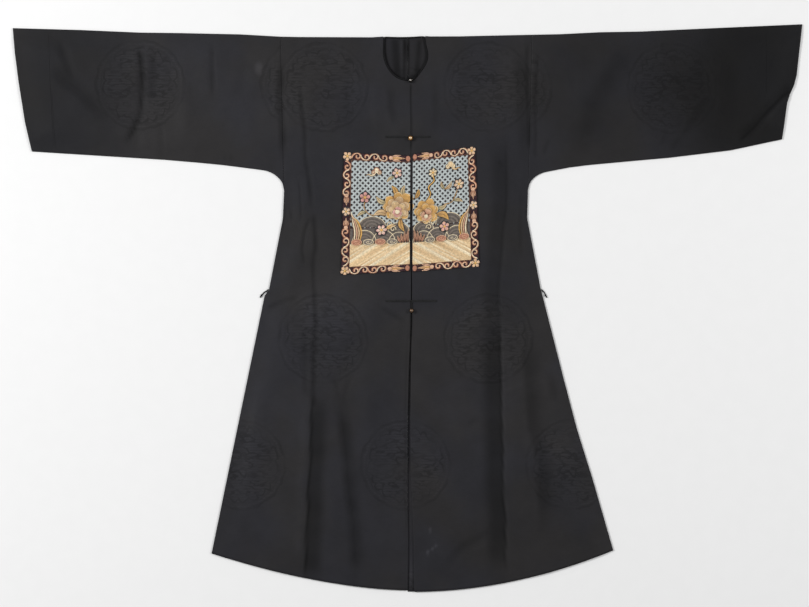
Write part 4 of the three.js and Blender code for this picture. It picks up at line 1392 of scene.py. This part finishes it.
# One ribbon of stitches: domed across, its edges sunk below base, its colour running to an end.
def ribbon(path, width, colour, base=0.0004, rise=0.0003, shape="even", to=None, kind="satin", step=0.0018,
           across=4):
    line, marks = evenPath(path, step)
    aside = asides(line)
    t = marks / marks[-1]
    swell = np.clip(profiles[shape](t), 0.05, 1)
    first, last = np.array(threads[colour]), np.array(threads[to or colour])
    first, last = first * random.uniform(0.9, 1.1), last * random.uniform(0.9, 1.1)

    def place(column, row):
        s = 2 * column / across - 1
        flat = line[row] + aside[row] * (s * swell[row] * width / 2)[:, None]
        dome = np.sqrt(np.clip(1 - s**2, 0, 1))
        height = base - layout["sink"] + (rise + layout["sink"]) * dome * np.sqrt(swell[row])
        tint = first + (last - first) * t[row][:, None]
        return {"points": (*flat.T, height), "cut": (marks[row], s * width / 2), "thread": tint}

    worked[kind].append(gridMesh("ribbon", across, len(line) - 1, place))


def cord(path, colour, base=0.0006, width=None, **more):
    ribbon(path, width or layout["cord"], colour, base, 0.0006, kind="cords", **more)


def disc(centre, radius, colour, base, squash=1.0, **more):
    u, v = centre
    ribbon([(u - radius, v), (u + radius, v)], radius * 2 * squash, colour, base, shape="round",
           step=radius / 7, across=6, **more)


def blossom(centre, radius, petals, outer, inner, base, turn=0.0):
    disc(centre, radius * 1.12, "ink", base, rise=0.0001)
    for index in range(petals):
        at = math.radians(turn + 360 * index / petals)
        ahead = np.array([math.cos(at), math.sin(at)])
        middle = np.array(centre)
        width = radius * 2.6 / petals * 1.35
        ribbon([middle + ahead * radius * 0.12, middle + ahead * radius], width, inner, base + 0.0005, 0.0004,
               "petal", outer, step=radius / 8)
    disc(centre, radius * 0.24, "gold", base + 0.0011, rise=0.0005)


def leaf(start, end, width, colour, to, base, bend=0.0):
    a, b = np.array(start), np.array(end)
    side = np.array([(b - a)[1], -(b - a)[0]]) * bend
    path = curve(tuple(a), tuple((a + b) / 2 + side), tuple(b))
    ribbon(path, width * 1.25, "ink", base, 0.0001, "leaf", step=0.0020, across=2)
    ribbon(path, width, colour, base + 0.0004, 0.0004, "leaf", to, step=0.0014)
    cord(path[1:-2], "brown", base + 0.0008, 0.0009)


# A cloud head of three curled lobes with a trailing tail.
def cloud(centre, size, fill, edge, base, faces=1):
    u, v = centre
    tail = curve((u + faces * 0.5 * size, v - 0.5 * size), (u + faces * 1.4 * size, v - 0.9 * size),
                 (u + faces * 2.2 * size, v - 0.6 * size), (u + faces * 2.9 * size, v - 1.0 * size))
    ribbon(tail, 0.9 * size, "ink", base, 0.0001, "tail", across=2)
    ribbon(tail, 0.6 * size, fill, base + 0.0004, shape="tail", to="tan")
    lobes = ((-0.75, 0, 0.62), (0.75, 0, 0.62), (0, 0.55, 0.72))
    for shade, grow, height in (("ink", 1.25, 0.0), (fill, 1.0, 0.0004)):
        for du, dv, radius in lobes:
            disc((u + du * size, v + dv * size), radius * size * grow, shade, base + height, rise=0.0001)
    cord(spiral((u - 0.75 * size, v), 0.6 * size, 60, 430), edge, base + 0.0008, 0.0017)
    cord(spiral((u + 0.75 * size, v), 0.6 * size, 120, -430), edge, base + 0.0008, 0.0017)
    cord(arc((u, v + 0.55 * size), 0.7 * size, 200, -20), edge, base + 0.0008, 0.0017)


# A full bloom seen from one side: rings of petals round a heart that sits low, each ring
# smaller and higher than the last, dark at its foot and pale at its tips.
def peony(centre, radius, base, turn, rings):
    disc(centre, radius * 0.80, "brown", base - 0.0002)
    for level, (petals, reach, inner, outer) in enumerate(rings):
        for index in range(petals):
            at = math.radians(turn + level * 24 + 360 * index / petals + random.uniform(-5, 5))
            ahead = np.array([math.cos(at), math.sin(at)])
            heart = np.array(centre) - (0, radius * 0.12 * level)
            length = radius * reach * random.uniform(0.90, 1.08) * (1 + 0.12 * math.sin(at))
            tip = heart + ahead * length
            height = base + 0.0003 + level * 0.0008
            ribbon([heart + ahead * length * 0.2, tip], length * 5.0 / petals, inner, height, 0.0006, "petal",
                   outer, step=length / 9)
            rim = arc(tuple(heart + ahead * length * 0.72), length * 1.9 / petals, math.degrees(at) + 80,
                      math.degrees(at) - 80)
            cord(rim, "cream", height + 0.0003, 0.0012, shape="wisp")
    disc(tuple(np.array(centre) - (0, radius * 0.30)), radius * 0.15, "cream", base + 0.0030, rise=0.0006)


# A wave: stitched arches one inside the other, with a pale line over them.
def mound(centre, radius, base, squash=0.8):
    count = max(3, int(radius * squash / 0.0030))
    for index in range(count):
        reach = radius * (1 - (index + 0.6) / (count + 0.3))
        colour = "grey" if index % 2 == 0 else "slate"
        ribbon(arc(centre, reach, 178, 2, squash), radius / count * 1.12, colour, base, 0.00025)
    cord(arc(centre, radius, 180, 0, squash), "cream", base + 0.0003, 0.0015)


# An oval curl of foam at the foot of the waves.
def foamCurl(centre, wide, high, fill, edge, base):
    disc(centre, wide / 2, fill, base, high / wide)
    cord(arc(centre, wide / 2, 0, 360, high / wide), edge, base + 0.0003, 0.0015)
    curl = spiral(centre, wide * 0.33, 20, -430, 0.1)
    cord([(u, mix(centre[1], v, high / wide)) for u, v in curl], edge, base + 0.0004, 0.0012)


scrollHook = [(-0.66, 0.60), (-0.52, -0.30), (-0.26, -0.90)]  # in pitches along and curl radii up


# A running scroll along a straight side: hooked curls in pale thread, each shadowed in rose.
def scrollRun(start, end, count, flip=1):
    a, b = np.array(start), np.array(end)
    ahead = (b - a) / np.linalg.norm(b - a)
    inward = flip * np.array([-ahead[1], ahead[0]])
    pitch, radius = np.linalg.norm(b - a) / count, layout["curlRadius"]
    for index in range(count):
        up = 1 if index % 2 == 0 else -1
        hook = [(across * pitch, rise * radius) for across, rise in scrollHook]
        path = hook + spiral((0.02 * pitch, -0.05 * radius), radius * 0.98, -100, 330, 0.30)
        middle = a + ahead * pitch * (index + 0.56)
        laid = [tuple(middle + ahead * along + inward * (rise * up)) for along, rise in path]
        cord(beside(laid, 0.0019 * flip * up), "rose", 0.0004, 0.0014)
        cord(laid, "cream" if random.random() < 0.75 else "peach", 0.0007, shape="even", to="peach")


def leafTips(start, ahead, colours):
    a, forward = np.array(start), np.array(ahead)
    side = np.array([forward[1], -forward[0]])
    tips = ((-0.0056, 0.020, colours[0]), (0.0056, 0.020, colours[0]), (0.0, 0.030, colours[1]))
    for aside, length, colour in tips:
        foot = a + side * aside * 0.5
        tip = foot + forward * length + side * aside * 0.7
        leaf(tuple(foot), tuple(tip), 0.0054, colour, "peach", 0.0005)
    disc(tuple(a - forward * 0.002), 0.0042, "peach", 0.0012, rise=0.0005)


# The part of a straight line that lies inside a rectangle.
def clipLine(point, ahead, low, high):
    entry, leave = -1e9, 1e9
    for axis in (0, 1):
        first, last = sorted((side[axis] - point[axis]) / ahead[axis] for side in (low, high))
        entry, leave = max(entry, first), min(leave, last)
    if leave - entry < 0.004:
        return None
    return [tuple(np.array(point) + np.array(ahead) * mark) for mark in (entry, leave)]


# Flat strips laid over and under each other on a dark pad.
def workLattice():
    side, top, foot = layout["fieldSide"], layout["fieldTop"], layout["fieldFoot"]
    for v in np.arange(foot, top - 0.002, 0.0045):
        ribbon([(-side, v + 0.0022), (side, v + 0.0022)], 0.0050, "ink", 0.0001, 0.0001, step=0.006, across=2)
    spacing = layout["latticePitch"] * math.sqrt(2)
    middle = (top + foot) / 2
    for lean, base in ((1, 0.0004), (-1, 0.0005)):
        for start in np.arange(-side - top + foot, side + top - foot, spacing):
            line = clipLine((start, middle), (0.7071, 0.7071 * lean), (-side, foot), (side, top))
            if line:
                ribbon(line, layout["latticeWidth"], "blue", base, 0.0002, step=0.004, across=2)


# Slanting satin stripes below the waves, mirrored about the opening.
def workStripes():
    side, top, foot = layout["fieldSide"], layout["stripesTop"], layout["stripesFoot"]
    shades = ["cream", "wheat", "wheat", "wheat", "cream", "straw", "cream", "wheat", "wheat", "straw",
              "wheat"]
    for half in (-1, 1):
        for index, start in enumerate(np.arange(-0.10, side + 0.10, 0.0056)):
            line = clipLine((start * half, foot), (-0.86 * half, 0.51), (min(0, side * half), foot),
                            (max(0, side * half), top))
            if line:
                first, last = shades[(index * 5) % len(shades)], shades[(index * 7 + 4) % len(shades)]
                ribbon(line, 0.0033, first, 0.0005, 0.0002, to=last, step=0.003)


# Arched waves on a grey pad, with bound sprays at the sides, foam curls and rocks by the opening.
def workWaves():
    side = layout["fieldSide"]
    for half in (-1, 1):
        for v in np.arange(-0.062, -0.030, 0.004):
            ribbon([(half * side, v), (0, v)], 0.0046, "slate", 0.0006, 0.0001, step=0.005, across=2)
        for u, v, radius in ((0.080, -0.030, 0.029), (0.024, -0.038, 0.022)):
            mound((u * half, v), radius, 0.0008)
        for u, v, radius in ((0.096, -0.062, 0.025), (0.055, -0.062, 0.024), (0.023, -0.064, 0.022)):
            mound((u * half, v), radius, 0.0015, 1.05)
        for index, shade in enumerate(("cream", "peach", "wheat", "gold")):
            bow = 0.0046 * index
            route = ((0.1245 - bow * 0.15, 0.004 - bow * 0.8), (0.120 - bow * 0.75, -0.018),
                     (0.1160 - bow, -0.040), (0.1175 - bow * 0.8, -0.063))
            path = curve(*((half * u, v) for u, v in route))
            ribbon(path, 0.0034, shade, 0.0024, 0.0005, "wisp")
            cord(beside(path, -0.0022 * half), "brown", 0.0026, 0.0014, shape="wisp")
        for index in range(4):
            fill, edge = (("rose", "peach"), ("grey", "cream"))[index % 2]
            foamCurl((half * (0.112 - index * 0.0248), -0.0610 - 0.0006 * (index % 2)), 0.0215, 0.0125, fill,
                     edge, 0.0028)
        for index in range(4):
            foot = (half * (0.004 + index * 0.0048), -0.064)
            tip = (half * (0.003 + index * 0.0078), -0.034 - index * 0.005)
            leaf(foot, tip, 0.0050, "rose", "peach", 0.0034, 0.06 * half)
        for u, v in ((0.044, -0.024), (0.036, -0.034)):
            start = 200 if half > 0 else -20
            cord(spiral((u * half, v), 0.0066, start, -400 * half, 0.3), "cream", 0.0030, 0.0018)


# Rings of petals: how many, how long, and their colours at the foot and the tip.
bloom = [(8, 1.0, "brown", "gold"), (7, 0.78, "brown", "straw"), (6, 0.54, "tan", "wheat"),
         (4, 0.32, "rose", "pink")]
halfBloom = [(7, 1.0, "brown", "gold"), (6, 0.72, "brown", "gold"), (4, 0.42, "rose", "peach")]

# Leaves behind the blooms: foot, tip, width, colour, colour of the tip, bend.
sprayLeaves = [
    ((-0.046, -0.004), (-0.078, -0.004), 0.0120, "tan", "wheat", 0.20),
    ((-0.050, 0.022), (-0.072, 0.036), 0.0095, "sage", "wheat", -0.15),
    ((-0.030, 0.036), (-0.040, 0.060), 0.0100, "tan", "gold", 0.15),
    ((-0.014, 0.034), (-0.012, 0.062), 0.0090, "sage", "wheat", -0.12),
    ((0.006, 0.030), (0.014, 0.050), 0.0090, "tan", "gold", 0.10),
    ((0.052, -0.008), (0.080, -0.022), 0.0125, "tan", "gold", -0.18),
    ((0.054, 0.006), (0.076, 0.012), 0.0085, "sage", "wheat", 0.18),
    ((-0.020, -0.010), (-0.012, -0.040), 0.0100, "tan", "gold", 0.12),
]


def workMotifs():
    for foot, tip, width, colour, to, bend in sprayLeaves:
        leaf(foot, tip, width, colour, to, 0.0021, bend)
    stem = curve((0.030, 0.020), (0.040, 0.036), (0.036, 0.052), (0.048, 0.064), (0.046, 0.076))
    cord(stem, "ink", 0.0014, 0.0050)
    cord(stem, "gold", 0.0018, 0.0030)
    peony((0.030, -0.002), 0.029, 0.0030, 14, halfBloom)
    peony((-0.027, 0.013), 0.033, 0.0036, 0, bloom)
    blossom((0.046, 0.082), 0.0095, 6, "cream", "wheat", 0.0014, 20)
    stem = curve((-0.066, -0.004), (-0.086, -0.002), (-0.097, 0.012), (-0.096, 0.024))
    cord(stem, "tan", 0.0012, 0.0020)
    blossom((-0.096, 0.034), 0.0115, 5, "pink", "rose", 0.0008, 12)
    leaf((-0.092, 0.004), (-0.112, -0.006), 0.0070, "sage", "wheat", 0.0010, 0.10)
    cloud((-0.072, 0.088), 0.0080, "cream", "rose", 0.0009, -1)
    blossom((-0.028, 0.088), 0.0105, 5, "pink", "cream", 0.0008, 40)
    leaf((-0.034, 0.080), (-0.050, 0.068), 0.0065, "sage", "wheat", 0.0008, 0.10)
    cloud((0.086, 0.092), 0.0080, "wheat", "cream", 0.0009, 1)
    blossom((0.104, 0.052), 0.0110, 6, "peach", "cream", 0.0008, 10)
    stem = curve((0.070, 0.012), (0.088, 0.016), (0.100, 0.040))
    cord(stem, "tan", 0.0012, 0.0020)
    leaf((0.090, 0.018), (0.112, 0.014), 0.0070, "sage", "wheat", 0.0010, -0.12)
    leaf((0.072, 0.044), (0.088, 0.060), 0.0075, "tan", "cream", 0.0010, 0.16)
    leaf((0.072, 0.044), (0.064, 0.062), 0.0065, "sage", "wheat", 0.0010, -0.10)
    blossom((-0.060, -0.036), 0.0115, 6, "pink", "cream", 0.0030, 5)
    leaf((-0.050, -0.034), (-0.030, -0.026), 0.0080, "gold", "wheat", 0.0030, -0.10)
    blossom((0.070, -0.036), 0.0110, 5, "peach", "pink", 0.0030, 25)


def workBorder():
    outU, outV = badge["halfWidth"] - 0.0090, badge["halfHeight"] - 0.0078
    for half in (-1, 1):
        for v, flip in ((outV, 1), (-outV, -1)):
            disc((half * outU, v), 0.0120, "brown", 0.0001, rise=0.0002)
            blossom((half * outU, v), 0.0100, 5, "peach", "wheat", 0.0004, 18 * half)
            scrollRun((half * 0.124, v), (half * 0.048, v), 4, flip * half)
            leafTips((half * 0.040, v), (-half, 0), ("peach", "gold"))
            disc((half * 0.005, v), 0.0046, "rose", 0.0004, 1.3)
        disc((half * outU, 0.004), 0.0100, "brown", 0.0001, rise=0.0002)
        blossom((half * outU, 0.004), 0.0090, 5, "peach", "cream", 0.0004, 40)
        for v, ahead in ((0.036, -1), (-0.028, 1)):
            leafTips((half * outU, v), (0, ahead * 0.65), ("rose", "peach"))
        scrollRun((half * outU, 0.108), (half * outU, 0.036), 4, half)
        scrollRun((half * outU, -0.108), (half * outU, -0.030), 4, -half)
    side, top, foot = layout["fieldSide"], layout["fieldTop"], layout["stripesFoot"]
    for path in ([(-side, foot), (-side, top)], [(side, foot), (side, top)], [(-side, top), (side, top)],
                 [(-side, foot), (side, foot)]):
        cord(path, "brown", 0.0006, 0.0018, step=0.004)
    s, t = badge["halfWidth"] - 0.0006, badge["halfHeight"] - 0.0006
    for path in ([(-s, -t), (-s, t)], [(s, -t), (s, t)], [(-s, t), (s, t)], [(-s, -t), (s, -t)]):
        cord(path, "ink", 0.0003, 0.0012, step=0.004)


def embroideryMaterial(name, pitch, metal, roughness):
    fixed = {"Sheen Weight": 0.12, "Sheen Roughness": 0.35, "Specular IOR Level": 0.40, "Metallic": metal,
             "Roughness": roughness}
    material, tree, shader = startMaterial(name, **fixed)
    lay = sineOf(tree, axisOf(tree, cutPlace(tree), 0), pitch)
    worn = patches(tree, objectPlace(tree), 240.0, 3.0, (0.3, 0.7), (0.93, 1.26))
    # Painted shade: the colour is darker in the grooves between the stitches, where the bump sinks.
    level = product(tree, worn, rampBetween(tree, lay, -1, 0.2, 0.72, 1.04))
    thread = readAttribute(tree, "thread").outputs["Color"]
    tree.links.new(lit(tree, thread, level), shader.inputs["Base Color"])
    addBump(tree, shader, lay, 0.00009)
    return material


# Cuts the worked square down its middle and lays each half on its front.
def layEmbroidery(half, kind, material):
    bm = bmesh.new()
    bm.from_mesh(flatWork[kind])
    geometry = bm.verts[:] + bm.edges[:] + bm.faces[:]
    bmesh.ops.bisect_plane(bm, geom=geometry, dist=1e-7, plane_co=(half["sign"] * layout["cutClear"], 0, 0),
                           plane_no=(half["sign"], 0, 0), clear_inner=True)
    name = f"badge_{kind}_{half['name']}"
    mesh = writeMesh(bm, bpy.data.meshes.new(name))
    u, v, height = readPoints(mesh).T
    writePoints(mesh, *layOnFront(half, u, v, badge["wall"] + height))
    mesh.update()
    return addPiece(name, mesh, material, "embroidery")


for work in (workLattice, workStripes, workWaves, workMotifs, workBorder):
    work()
flatWork = {kind: joinMeshes(kind, meshes) for kind, meshes in worked.items()}
embroidery = {"satin": embroideryMaterial("satinStitch", 0.0006, 0.0, 0.46),
              "cords": embroideryMaterial("couchedCord", 0.0009, 0.25, 0.42)}
for half in (right, left):
    for kind, material in embroidery.items():
        layEmbroidery(half, kind, material)
for mesh in flatWork.values():
    bpy.data.meshes.remove(mesh)
print("embroidery laid")

# ---- done

print("scene built")
